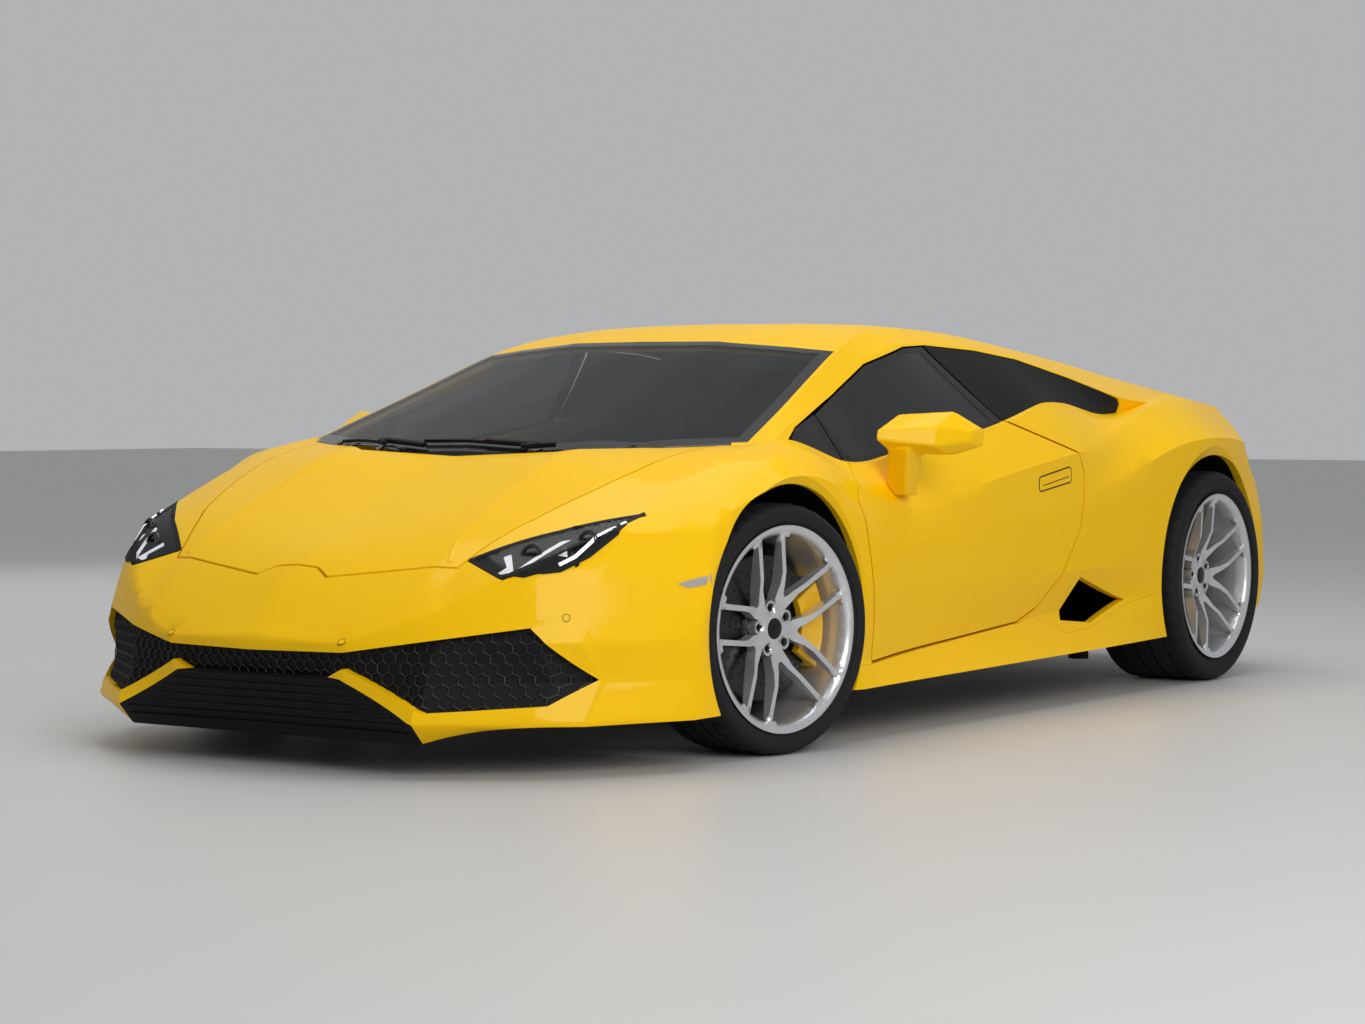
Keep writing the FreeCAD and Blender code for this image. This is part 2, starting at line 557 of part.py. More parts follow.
# Windows through the spokes: (outwards, sideways), one side of each, and the other side is its mirror image
lug_window = [(58, 0), (60, 19), (74, 21), (92, 27), (112, 35), (140, 38), (250, 38), (250, 31), (268, 31)]
fork_window = [(90, 3), (97, 10), (112, 18), (205, 84), (222, 95), (226, 80), (262, 80)]


# Road wheels. Each is drawn round the Y axis with the outboard side at +Y, then placed on its axle.
def ring(points):
    """A solid turned round the Y axis from an outline of (radius, outboard distance)."""
    face = Part.Face(polygon([V(r, w, 0) for r, w in points]))
    return face.revolve(V(0, 0, 0), V(0, 1, 0), 360)


def tyre(radius, width, rim_width):
    """A tyre whose beads lie inside the flanges of its rim."""
    bead, flange = width / 2 - bead_inset, rim_width / 2 - flange_width - 1
    side = [(bead_radius + seam, bead), (rim_lip_radius + 1, flange), (radius - shoulder_drop, width / 2),
            (radius, width / 2 - shoulder_width)]
    return ring(side + [(r, -w) for r, w in reversed(side)])


def rim(width, recess, tyre_width):
    """Barrel with five forked spokes that fall back to a recessed hub."""
    lip = width / 2
    seat = tyre_width / 2 - bead_inset
    barrel = ring([(rim_lip_radius, lip), (rim_lip_radius, lip - flange_width), (bead_radius, seat + 1),
                   (bead_radius, seat - 14), (barrel_radius + rim_wall, 0), (bead_radius, 14 - seat),
                   (bead_radius, -seat - 1),
                   (rim_lip_radius, flange_width - lip), (rim_lip_radius, -lip),
                   (rim_lip_radius - rim_wall, -lip),
                   (bead_radius - rim_wall, -seat), (barrel_radius, 0), (bead_radius - rim_wall, seat),
                   (rim_lip_radius - rim_wall, lip)])
    hub = lip - recess
    face = lip - 8
    dish = ring([(spindle_radius + running_gap, hub), (hub_radius, hub), (150, (hub + 2 * face) / 3),
                 (bead_radius + 1, face),
                 (bead_radius - 8, face - 15), (205, face - spoke_depth), (hub_radius, hub - spoke_depth),
                 (spindle_radius + running_gap, hub - spoke_depth)])
    windows = []
    for k in range(5):
        windows.append(window(spoke_phase + 36 + 72 * k, lug_window))
        windows.append(window(spoke_phase + 72 * k, fork_window))
    holes = [peg(lug_hole_radius, 60, polar(lug_circle, spoke_phase + 36 + 72 * k, hub - 16))
             for k in range(5)]
    cap = Part.makeCylinder(spindle_radius + 2, 6, V(0, hub - 6, 0), V(0, 1, 0))
    cap_bevel = Part.makeCone(spindle_radius + 2, spindle_radius - 6, 4, V(0, hub, 0), V(0, 1, 0))
    bosses = [peg(lug_boss_radius, spoke_depth, polar(lug_circle, spoke_phase + 36 + 72 * k,
                                                      hub - spoke_depth))
              for k in range(5)]
    spokes = dish.cut(windows[0].multiFuse(windows[1:])).multiFuse(bosses).cut(holes[0].multiFuse(holes[1:]))
    return barrel.multiFuse([spokes, cap, cap_bevel]).removeSplitter()


def polar(radius, angle, w):
    """A point of the wheel at a radius, an angle in degrees and an outboard distance."""
    return V(radius * math.cos(math.radians(angle)), w, radius * math.sin(math.radians(angle)))


def peg(radius, length, start):
    """A twelve-sided pin along the wheel's axis."""
    corners = [V(start.x + radius * math.cos(math.radians(30 * k)), start.y,
                 start.z + radius * math.sin(math.radians(30 * k)))
               for k in range(12)]
    return Part.Face(polygon(corners)).extrude(V(0, length, 0))


def window(angle, points):
    """A window through the spokes: (outwards, sideways) points about one direction."""
    outline = [*points, *[(u, -v) for u, v in reversed(points)]]
    a = math.radians(angle)
    place = [V(u * math.cos(a) - v * math.sin(a), -200, u * math.sin(a) + v * math.cos(a))
             for u, v in outline]
    return Part.Face(polygon(place)).extrude(V(0, 400, 0))


def brake_disc(hub_face):
    """Ventilated disc with the bell that bolts it to the hub face."""
    inner, outer_face = disc_centre - disc_thickness / 2, disc_centre + disc_thickness / 2
    return ring([(spindle_radius + running_gap, hub_face), (68, hub_face), (78, hub_face - 8),
                 (78, outer_face), (disc_radius, outer_face),
                 (disc_radius, inner), (70, inner), (70, hub_face - 12),
                 (spindle_radius + running_gap, hub_face - 12)])


def caliper(side):
    """Six-piston caliper that straddles the disc, on the side of the axle given by the sign."""
    block = sector(132, 217, -46, 52, 62, side)
    slot = ring([(0, disc_centre - disc_thickness / 2 - 6),
                 (disc_radius + 7, disc_centre - disc_thickness / 2 - 6),
                 (disc_radius + 7, disc_centre + disc_thickness / 2 + 6),
                 (0, disc_centre + disc_thickness / 2 + 6)])
    return block.cut(slot)


def sector(r0, r1, w0, w1, spread, side):
    """Part of a ring, spread over an angle about the horizontal, ahead of or behind the axle."""
    face = Part.Face(polygon([V(r0, w0, 0), V(r1, w0, 0), V(r1, w1, 0), V(r0, w1, 0)]))
    solid = face.revolve(V(0, 0, 0), V(0, 1, 0), spread)
    solid.rotate(V(0, 0, 0), V(0, 1, 0), -spread / 2 + (0 if side > 0 else 180))
    return solid


def knuckle(offset, radius, side, spindle_end):
    """Upright on the kingpin line with its spindle and the caliper's bracket."""
    post = Part.makeCylinder(ball_joint_radius, 2 * upright_half, V(0, offset, -upright_half))
    carrier = Part.makeCylinder(62, 24, V(0, offset - 4, 0), V(0, 1, 0))
    spindle = Part.makeCylinder(spindle_radius, spindle_end - offset, V(0, offset, 0), V(0, 1, 0))
    bracket = sector(40, 132 - seam, -46, -20, 40, side)
    return post.multiFuse([carrier, spindle, bracket]).removeSplitter()


wheel_sets = {
    "front": (front_axle_x, front_track / 2, front_tyre_radius, front_tyre_width, front_rim_width,
              front_recess),
    "rear": (rear_axle_x, rear_track / 2, rear_tyre_radius, rear_tyre_width, rear_rim_width, rear_recess),
}


def place(shape, x, y, z, left, steer=0):
    """Moves a wheel part to its place, mirrored for the right side, then turned about the kingpin."""
    shape = shape.translated(V(x, y, z))
    if not left:
        shape = flip(shape)
    if steer:
        shape.rotate(V(x, kingpin_y if left else -kingpin_y, z), V(0, 0, 1), steer)
    return shape


rear_uprights = []
for axle, (x, y, radius, tyre_width, rim_width, recess) in wheel_sets.items():
    hub_face = rim_width / 2 - recess - spoke_depth
    new_tyre = tyre(radius, tyre_width, rim_width)
    new_rim = rim(rim_width, recess, tyre_width)
    new_disc = brake_disc(hub_face)
    kingpin = kingpin_y - front_track / 2
    behind = -1 if axle == "front" else 1
    spindle_end = rim_width / 2 - recess - 6 - running_gap
    new_knuckle = knuckle(kingpin, radius, behind, spindle_end)
    new_caliper = caliper(behind)
    for left, name in ((True, "left"), (False, "right")):
        steer = -rest_steer if axle == "front" else 0
        spot = (x, y, radius, left, steer)
        add(f"tyre_{axle}_{name}", place(new_tyre, *spot))
        add(f"rim_{axle}_{name}", place(new_rim, *spot))
        add(f"brake_disc_{axle}_{name}", place(new_disc, *spot))
        if axle == "front":
            add(f"knuckle_{name}", place(new_knuckle, *spot))
            add(f"caliper_{name}", place(new_caliper, *spot))
        else:
            rear_uprights.append(place(new_knuckle, *spot))
            rear_uprights.append(place(new_caliper, *spot))
add("rear_uprights", Part.makeCompound(rear_uprights[0::2]))
add("rear_calipers", Part.makeCompound(rear_uprights[1::2]))

def hex_bar(start, end, radius):
    """A six-sided arm between two points at one height."""
    across = (end - start).cross(V(0, 0, 1)).normalize()
    turns = [math.radians(60 * k) for k in range(6)]
    corners = [start + across * (radius * math.cos(a)) + V(0, 0, radius * math.sin(a))
               for a in turns]
    return Part.Face(polygon(corners)).extrude(end - start)


# Wishbones from the chassis rails to the ball joints of the uprights
def wishbone(axle_x, radius, height, inner_y, spread, eye_y):
    eye = V(axle_x, eye_y, radius + height)
    ring_eye = Part.makeCylinder(ball_joint_radius, 2 * eye_half, eye - V(0, 0, eye_half))
    legs = [hex_bar(V(axle_x + s * spread, inner_y, radius + height), eye, arm_radius) for s in (1, -1)]
    return ring_eye.multiFuse(legs).common(block(-4000, 2000, inner_y + 0.3, 1000, 0, 1000))


arms = []
for axle_x, radius, track in ((front_axle_x, front_tyre_radius, front_track),
                              (rear_axle_x, rear_tyre_radius, rear_track)):
    eye_y = kingpin_y + (track - front_track) / 2
    for height, inner_y in ((-upright_half - eye_half - seam, 425), (upright_half + eye_half + seam, 425)):
        arms.append(wishbone(axle_x, radius, height, inner_y, 110, eye_y))
add("wishbones", Part.makeCompound([*arms, *[flip(a) for a in arms]]))

# Tub: chassis rails, bulkheads, tunnel and the inner structure that carries everything
def slab(x0, x1, y1, z0, z1):
    """A box across the car from the centreline out to a half-width."""
    return block(x0, x1, 0, y1, z0, z1)


inner_face = low_outer.translated(V(0, -door_thickness - seam, 0))
rail_top = 222
rail = block(-3000, 780, 330, 390, 90, rail_top)
cross_front = slab(740, 780, 470, 90, 330)
cross_rear = slab(-2960, -2920, 500, 90, 500)
tower_front = block(-150, 150, 395, 425, 90, 560)
tower_rear = block(-2770, -2470, 395, 425, 90, 590)
feet = [block(x, x + 120, 380, 400, 90, 200) for x in (-60, -2680)]
tunnel = slab(-1640, -380, 130, 90, 330)
side_box = block(-1640, -380, 700, 800, 90, 300)
front_wall = slab(-395, -380, 1000, 90, 560)
front_pillar = block(-450, -380, 760, 1000, 90, 640)
rear_pillar = block(-1700, -1640, 760, 1000, 90, 740)
rear_wall = slab(-1660, -1640, 960, 90, 1130).cut(slab(-1670, -1630, 400, 780, 1010))
slam_post = block(745, 775, 300, 340, 300, 700).common(low_inner.translated(V(0, 0, -seam)))
low_frame = rail.multiFuse([cross_front, cross_rear, tower_front, tower_rear, *feet, tunnel, side_box,
                            front_wall, front_pillar,
                            rear_pillar, rear_wall])
low_frame = low_frame.common(low_inner.translated(V(0, 0, seam))).common(inner_face)
tub_half = low_frame.multiFuse([rear_wall.common(top_inner), slam_post])
wells = [Part.makeCylinder(front_arch_radius + liner_thickness, 700,
                           V(front_axle_x, wheel_well_y, front_tyre_radius), V(0, 1, 0)),
         Part.makeCylinder(rear_arch_radius + liner_thickness, 700,
                           V(rear_axle_x, wheel_well_y, rear_tyre_radius), V(0, 1, 0))]
tub_half = tub_half.cut(wells[0]).cut(wells[1])
add("tub", whole(tub_half))
cover_path = block(-1712, -1693, 0, 480, 900, 1300).cut(top_inner.translated(V(0, 0, -hinge_room)))
header = block(-1745, -1685, 0, 480, 900, 1300).common(top_inner.translated(V(0, 0, -seam))).cut(cover_path)
add("roof_header", whole(header.cut(top_inner.translated(V(0, 0, -14)))))

# Wheel-arch liners
liners = []
for x, z, radius in ((front_axle_x, front_tyre_radius, front_arch_radius), (rear_axle_x, rear_tyre_radius,
                                                                            rear_arch_radius)):
    liner = Part.makeCylinder(radius + liner_thickness, 700, V(x, wheel_well_y, z), V(0, 1, 0))
    liner = liner.cut(Part.makeCylinder(radius, 720, V(x, wheel_well_y - 10, z), V(0, 1, 0)))
    liner = liner.common(low_inner).cut(Part.makeBox(2000, 2000, 400, V(x - 1000, 0, -400 + tray_top)))
    liners.append(liner)
add("wheel_liners", Part.makeCompound([*liners, *[flip(q) for q in liners]]))

# Engine and gearbox, one plain block on the rear rails
engine = slab(-2350, -1760, 330 - seam, rail_top - 20, 800).fuse(slab(-2850, -2350, 200, rail_top - 20,
                                                                      520))
add("engine_block", whole(engine))

# Luggage well under the bonnet
well_out = slab(150, 740 - seam, 320, rail_top, 520)
well_in = slab(160, 730, 310, rail_top + 10, 600)
add("luggage_well", whole(well_out.cut(well_in)))

# Dashboard under the windscreen
dash_profile = [(-100, 742), (-380, 772), (-600, 760), (-640, 700), (-600, 620), (-430, 560 + seam),
                (-380, 560 + seam), (-380, 700), (-100, 700)]
dash = side_prism(dash_profile, 0, 700).common(top_inner)
add("dashboard", whole(dash))

# Steering wheel and column
steering_centre = at(-760, 370, 690)
steering_axis = V(-1, 0, 0.42).normalize()
grip = [V(175 + 15 * math.cos(math.radians(45 * k + 22.5)), 0,
          15 * math.sin(math.radians(45 * k + 22.5))) for k in range(8)]
rim_ring = Part.Face(polygon(grip)).revolve(V(0, 0, 0), V(0, 0, 1), 360)
boss = Part.makeCylinder(52, 40, V(0, 0, -30))
spokes = [Part.makeBox(130, 34, 14, V(40, -17, -12)).rotated(V(0, 0, 0), V(0, 0, 1), a)
          for a in (0, 180, 270)]
wheel_shape = rim_ring.multiFuse([boss, *spokes])
turn = FreeCAD.Rotation(V(0, 0, 1), steering_axis)
wheel_shape.Placement = FreeCAD.Placement(steering_centre, turn)
add("steering_wheel", wheel_shape)
column_start = steering_centre - steering_axis * (30 + seam)
column = bar(column_start, column_start - steering_axis * 150, 34).cut(dash.translated(V(-seam, 0, 0)))
add("steering_column", column)

# Seats: squab and backrest on one shell each
def seat(y):
    base = side_prism([(-850, 235), (-850, 330), (-900, 345), (-1330, 300), (-1400, 235)], y - 250, y + 250)
    back = side_prism([(-1290, 250), (-1560, 940), (-1590, 1000), (-1625, 1000), (-1632, 940),
                       (-1470, 235), (-1400, 235)], y - 240, y + 240)
    rails = side_prism([(-880, 100), (-880, 235), (-1400, 235), (-1400, 100)], y - 190, y - 160)
    rails = rails.fuse(rails.translated(V(0, 350, 0))).common(low_inner.translated(V(0, 0, seam)))
    return base.multiFuse([back, rails])


add("seats", Part.makeCompound([seat(430), flip(seat(430))]))
console = side_prism([(-500, 330 + seam), (-600, 480), (-900, 430), (-1300, 440), (-1620, 480),
                      (-1620, 330 + seam)], -120, 120)
add("centre_console", console)


# Jacking pads under the rails
pads = []
for x in (-420, -2120):
    for y in (-700, 700):
        pad = Part.makeCylinder(32, 100, V(long(x), 700, 95)).cut(low_outer.translated(V(0, 0, -seam)))
        pads.append(pad if y > 0 else flip(pad))
add("jacking_pads", Part.makeCompound(pads))

doc.recompute()
faults = []
for piece in doc.Objects:
    if "Invalid" in piece.State or "Error" in piece.State:
        faults.append(f"{piece.Label} did not compute")
    elif hasattr(piece, "Shape") and (piece.Shape.isNull() or not piece.Shape.isValid()):
        faults.append(f"{piece.Label} has no valid shape")
if faults:
    raise RuntimeError("; ".join(faults))
os.makedirs("parts", exist_ok=True)
for piece in doc.Objects:
    if hasattr(piece, "Shape"):
        piece.Shape.exportStep(f"parts/{piece.Label}.step")
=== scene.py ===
import math

import bmesh
import bpy
from mathutils import Matrix, Vector
from mathutils.bvhtree import BVHTree


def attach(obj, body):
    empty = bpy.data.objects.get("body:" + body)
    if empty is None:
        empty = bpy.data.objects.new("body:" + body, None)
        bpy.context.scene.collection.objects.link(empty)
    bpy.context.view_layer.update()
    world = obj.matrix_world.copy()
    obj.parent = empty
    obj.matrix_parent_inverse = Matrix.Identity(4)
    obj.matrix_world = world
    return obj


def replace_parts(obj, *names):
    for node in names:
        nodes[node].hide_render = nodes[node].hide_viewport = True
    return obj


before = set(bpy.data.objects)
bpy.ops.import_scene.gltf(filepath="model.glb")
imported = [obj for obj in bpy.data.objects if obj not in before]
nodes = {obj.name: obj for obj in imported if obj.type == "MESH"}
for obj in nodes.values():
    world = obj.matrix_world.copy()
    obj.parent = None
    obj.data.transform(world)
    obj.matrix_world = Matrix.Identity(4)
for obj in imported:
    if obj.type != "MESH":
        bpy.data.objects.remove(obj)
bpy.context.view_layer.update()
scene = bpy.context.scene

# The body shell: pressed aluminium and bonded plastic panels, sprayed in one solid yellow, lacquered and
# polished. Each panel is a closed shell with its own edges, so the shut lines between them show as gaps.
CREASES = {"front_wings": 16, "front_bumper": 25, "roof_frame": 9, "rear_quarters": 12, "rear_bumper": 9,
           "side_sills": 9}  # degrees above which an edge stays sharp
BONNET_CREASE = 2.5
FLAT_FACE_WEIGHT = 60


def linear(code):
    """An sRGB hex value as the linear colour that a shader takes."""
    parts = [int(code[i:i + 2], 16) / 255 for i in (1, 3, 5)]
    return [c / 12.92 if c <= 0.04045 else ((c + 0.055) / 1.055) ** 2.4 for c in parts] + [1.0]


def put(tree, kind, settings=None, **links):
    """Adds a node with its settings, and fills or links its inputs, by name or number (i0, i1 and so on).
    A node given as a value stands for its first output."""
    node = tree.nodes.new(kind)
    for key, value in (settings or {}).items():
        setattr(node, key, value)
    for key, value in links.items():
        by_number = key[0] == "i" and key[1:].isdigit()
        socket = node.inputs[int(key[1:])] if by_number else node.inputs[key.replace("_", " ")]
        if isinstance(value, bpy.types.Node):
            value = value.outputs[0]
        if isinstance(value, bpy.types.NodeSocket):
            tree.links.new(value, socket)
        else:
            socket.default_value = value
    return node


def finish(name, code, shades, grain_mm, bump=0.0, depth_mm=0.1, rough=None, **sockets):
    """A material whose colour wanders between two shades in grains of a real size, with a bump to match."""
    material = bpy.data.materials.new(name)
    material.use_nodes = True
    tree = material.node_tree
    shader = tree.nodes["Principled BSDF"]
    shader.inputs["Base Color"].default_value = linear(code)
    for key, value in sockets.items():
        socket = shader.inputs[key.replace("_", " ")]
        socket.default_value = linear(value) if isinstance(value, str) else value
    place = put(tree, "ShaderNodeTexCoord").outputs["Object"]
    noise = put(tree, "ShaderNodeTexNoise", Vector=place, Scale=1000 / grain_mm, Detail=4.0).outputs["Fac"]
    low, high = linear(shades[0]), linear(shades[1])
    mix = put(tree, "ShaderNodeMix", {"data_type": "RGBA"}, i0=noise, i6=low, i7=high)
    tree.links.new(mix.outputs[2], shader.inputs["Base Color"])
    if bump:
        height = put(tree, "ShaderNodeBump", Strength=bump, Distance=depth_mm / 1000, Height=noise)
        tree.links.new(height.outputs["Normal"], shader.inputs["Normal"])
    if rough:
        spread = put(tree, "ShaderNodeMapRange", Value=noise, To_Min=rough[0], To_Max=rough[1])
        tree.links.new(spread.outputs["Result"], shader.inputs["Roughness"])
    return material


def shown(name, mesh, body, material):
    """Puts a finished mesh in the scene on its body."""
    mesh.materials.clear()
    mesh.materials.append(material)
    piece = bpy.data.objects.new(name, mesh)
    scene.collection.objects.link(piece)
    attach(piece, body)
    return piece


def merged(name):
    """A copy of a CAD node's mesh with its loose triangles joined."""
    mesh = nodes[name].data.copy()
    shape = bmesh.new()
    shape.from_mesh(mesh)
    bmesh.ops.remove_doubles(shape, verts=shape.verts, dist=2e-5)
    bmesh.ops.dissolve_degenerate(shape, edges=shape.edges, dist=1e-6)
    shape.to_mesh(mesh)
    shape.free()
    return mesh


def holding(mesh):
    """An object that holds a mesh while modifiers work on it."""
    holder = bpy.data.objects.new("holder", mesh)
    scene.collection.objects.link(holder)
    return holder


def applied(holder):
    """A plain mesh of an object, as its modifiers leave it."""
    bpy.context.view_layer.update()
    return bpy.data.meshes.new_from_object(holder.evaluated_get(bpy.context.evaluated_depsgraph_get()))


def settled(holder):
    """The same, with the object removed."""
    mesh = applied(holder)
    bpy.data.objects.remove(holder)
    return mesh


def softened(mesh):
    """The same mesh with every face shaded smooth."""
    mesh.polygons.foreach_set("use_smooth", [True] * len(mesh.polygons))
    return mesh


def smooth(mesh, angle):
    """Shades a mesh smooth between edges sharper than the angle, in degrees, with large faces kept flat."""
    softened(mesh).set_sharp_from_angle(angle=math.radians(angle))
    holder = holding(mesh)
    even = holder.modifiers.new("even", "WEIGHTED_NORMAL")
    even.keep_sharp = True
    even.weight = FLAT_FACE_WEIGHT
    return settled(holder)


def panel(name, body, material, angle=9):
    """The polished face of a CAD panel: its own mesh, joined and shaded smooth between the creases."""
    piece = shown(name + "_skin", smooth(merged(name), angle), body, material)
    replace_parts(piece, name)


# Solid yellow acrylic under clear lacquer: the eye gets one even, saturated colour with a soft sheen, and
# the lacquer's orange peel, 3 mm across, breaks the reflections very slightly.
PEEL_PER_METRE = 330.0
yellow_paint = finish("polished_yellow_paint", "#FCC600", ("#FBC400", "#FEC902"), 260, Roughness=0.45,
                      Coat_Weight=0.2, Coat_Roughness=0.08, IOR=1.45, Specular_IOR_Level=0.08)
tree = yellow_paint.node_tree
place = put(tree, "ShaderNodeTexCoord").outputs["Object"]
peel = put(tree, "ShaderNodeTexNoise", Vector=place, Scale=PEEL_PER_METRE)
peel_bump = put(tree, "ShaderNodeBump", Strength=0.02, Distance=0.0002, Height=peel.outputs["Fac"])
tree.links.new(peel_bump.outputs["Normal"], tree.nodes["Principled BSDF"].inputs["Coat Normal"])
for name, crease in CREASES.items():
    panel(name, "body", yellow_paint, crease)
panel("bonnet", "bonnet", yellow_paint, BONNET_CREASE)
panel("engine_cover", "engine_cover", yellow_paint)
for side in ("left", "right"):
    panel(f"door_{side}", f"door_{side}", yellow_paint)

# Underbody, splitter, liners and grilles: injection-moulded polypropylene and nylon, dyed black, with the
# fine spark-eroded grain of their moulds. They hardly reflect, so the openings read as dark.
black_moulding = finish("grained_black_polypropylene", "#0C0C0D", ("#08080A", "#101011"), 2.5, 0.25, 0.15,
                        Roughness=0.6, Specular_IOR_Level=0.2)


def dress(material, *names):
    """Gives CAD nodes a material in place of their own."""
    for name in names:
        if not nodes[name].material_slots:
            nodes[name].data.materials.append(material)
        for entry in nodes[name].material_slots:
            entry.material = material


dress(black_moulding, "front_splitter", "undertray", "rear_diffuser", "wheel_liners", "front_grilles",
      "rear_grille", "shoulder_intakes", "luggage_well", "jacking_pads")

# Honeycomb in the intakes and across the tail: nylon, moulded in one piece with its surround. Its cells are
# 30 mm across in front and 36 mm behind, in walls about 4 mm thick, 3 mm in front of the dark backing.
FRONT_COMB = {"Cell": 0.03, "Wall": 0.0022, "Span": 1.66, "Rise": 0.24, "Height": 0.265, "Way": -1.0}
REAR_COMB = {"Cell": 0.036, "Wall": 0.0024, "Span": 1.5, "Rise": 0.14, "Height": 0.67, "Way": 1.0}
ROW_SHARE, CORNER_SHARE = 0.866, 0.577  # a hexagon's row pitch and corner radius, as shares of its width
STAND_OFF, RAY_START, RAY_LENGTH = -0.003, -4.0, 10.0  # metres
DEPTH_BELOW = 10.0  # added to a height, so that the rows count up from far under the car
MATHS = "ShaderNodeMath"
TIMES, PLUS, OVER, ROUND_UP = ({"operation": word} for word in ("MULTIPLY", "ADD", "DIVIDE", "CEIL"))


def new_tree(name, **inputs):
    """A Geometry Nodes tree with its named inputs, and their sockets."""
    tree = bpy.data.node_groups.new(name, "GeometryNodeTree")
    tree.interface.new_socket("Geometry", in_out="OUTPUT", socket_type="NodeSocketGeometry")
    for key, kind in inputs.items():
        label = key.replace("_", " ")
        tree.interface.new_socket(label, in_out="INPUT", socket_type="NodeSocket" + kind)
    return tree, tree.nodes.new("NodeGroupInput").outputs


comb, given = new_tree("honeycomb", Backing="Object", Cell="Float", Wall="Float", Span="Float", Rise="Float",
                       Height="Float", Way="Float", Finish="Material")
cell_width, way = given["Cell"], given["Way"]
row_pitch = put(comb, MATHS, TIMES, i0=cell_width, i1=ROW_SHARE)
columns = put(comb, MATHS, ROUND_UP, i0=put(comb, MATHS, OVER, i0=given["Span"], i1=cell_width))
rows = put(comb, MATHS, ROUND_UP, i0=put(comb, MATHS, OVER, i0=given["Rise"], i1=row_pitch))
lattice = put(comb, "GeometryNodeMeshGrid", Size_X=put(comb, MATHS, TIMES, i0=columns, i1=cell_width),
              Size_Y=put(comb, MATHS, TIMES, i0=rows, i1=row_pitch),
              Vertices_X=put(comb, MATHS, PLUS, i0=columns, i1=1.0),
              Vertices_Y=put(comb, MATHS, PLUS, i0=rows, i1=1.0))
where = put(comb, "ShaderNodeSeparateXYZ", Vector=put(comb, "GeometryNodeInputPosition")).outputs
above = put(comb, MATHS, PLUS, i0=where[1], i1=DEPTH_BELOW)
row = put(comb, MATHS, {"operation": "ROUND"}, i0=put(comb, MATHS, OVER, i0=above, i1=row_pitch))
odd = put(comb, MATHS, {"operation": "MODULO"}, i0=row, i1=2.0)
half_odd = put(comb, MATHS, TIMES, i0=odd, i1=0.5)
shift = put(comb, "ShaderNodeCombineXYZ", X=put(comb, MATHS, TIMES, i0=half_odd, i1=cell_width))
staggered = put(comb, "GeometryNodeSetPosition", Geometry=lattice, Offset=shift)
corner = put(comb, MATHS, TIMES, i0=cell_width, i1=CORNER_SHARE)
wall_line = put(comb, "GeometryNodeCurvePrimitiveCircle", Resolution=6, Radius=corner)
upright = put(comb, "GeometryNodeTransform", Geometry=wall_line, Rotation=(0, 0, math.radians(30)))
wall_section = put(comb, "GeometryNodeCurvePrimitiveCircle", Resolution=4, Radius=given["Wall"])
cell = put(comb, "GeometryNodeCurveToMesh", Curve=upright, Profile_Curve=wall_section)
cells = put(comb, "GeometryNodeInstanceOnPoints", Points=staggered, Instance=cell)
sheet = put(comb, "GeometryNodeRealizeInstances", Geometry=cells)
lift = put(comb, "ShaderNodeCombineXYZ", Z=given["Height"])
standing = put(comb, "GeometryNodeTransform", Geometry=sheet, Translation=lift,
               Rotation=(math.radians(90), 0, math.radians(90)))
far = put(comb, MATHS, TIMES, i0=way, i1=RAY_START)
start = put(comb, "ShaderNodeCombineXYZ", X=far, Y=where[1], Z=where[2])
heading = put(comb, "ShaderNodeCombineXYZ", X=way)
backing = put(comb, "GeometryNodeObjectInfo", Object=given["Backing"]).outputs["Geometry"]
cast = put(comb, "GeometryNodeRaycast", Target_Geometry=backing, Source_Position=start,
           Ray_Direction=heading, Ray_Length=RAY_LENGTH).outputs
landing = put(comb, "ShaderNodeSeparateXYZ", Vector=cast["Hit Position"])
clear = put(comb, MATHS, TIMES, i0=way, i1=STAND_OFF)
pushed = put(comb, "ShaderNodeCombineXYZ", X=put(comb, MATHS, PLUS, i0=landing, i1=clear))
missed = put(comb, MATHS, {"operation": "SUBTRACT"}, i0=1.0, i1=cast["Is Hit"])
kept = put(comb, "GeometryNodeDeleteGeometry", Geometry=standing, Selection=missed)
draped = put(comb, "GeometryNodeSetPosition", Geometry=kept, Offset=pushed)
coated = put(comb, "GeometryNodeSetMaterial", Geometry=draped, Material=given["Finish"])
put(comb, "NodeGroupOutput", i0=coated)


def grown_from(tree, **inputs):
    """A plain mesh from a Geometry Nodes tree with its named inputs filled."""
    holder = holding(bpy.data.meshes.new("holder"))
    modifier = holder.modifiers.new("grown", "NODES")
    modifier.node_group = tree
    for entry in tree.interface.items_tree:
        key = entry.name.replace(" ", "_")
        if entry.in_out == "INPUT" and key in inputs:
            modifier[entry.identifier] = inputs[key]
    return settled(holder)


# Glossy nylon: a thin highlight runs along each wall and picks the cells out of the dark
glossy_nylon = finish("moulded_black_nylon", "#1A1A1B", ("#161617", "#1F1F21"), 5, Roughness=0.32)
for name, backing, sizes in (("front_honeycomb", "front_grilles", FRONT_COMB),
                             ("rear_honeycomb", "rear_grille", REAR_COMB)):
    mesh = grown_from(comb, Backing=nodes[backing], Finish=glossy_nylon, **sizes)
    shown(name, mesh, "body", glossy_nylon)

# Chassis: an extruded and cast aluminium tub and arms, left bare under the panels, and bolted together. The
# skin of the castings looks grey and slightly rough.
cast_alloy = finish("sand_cast_aluminium", "#8C8D8F", ("#7E7F81", "#97989A"), 6, 0.3, 0.2, Metallic=0.9,
                    Roughness=0.5)
dress(cast_alloy, "tub", "roof_header", "engine_block", "knuckle_left", "knuckle_right", "rear_uprights",
      "wishbones")

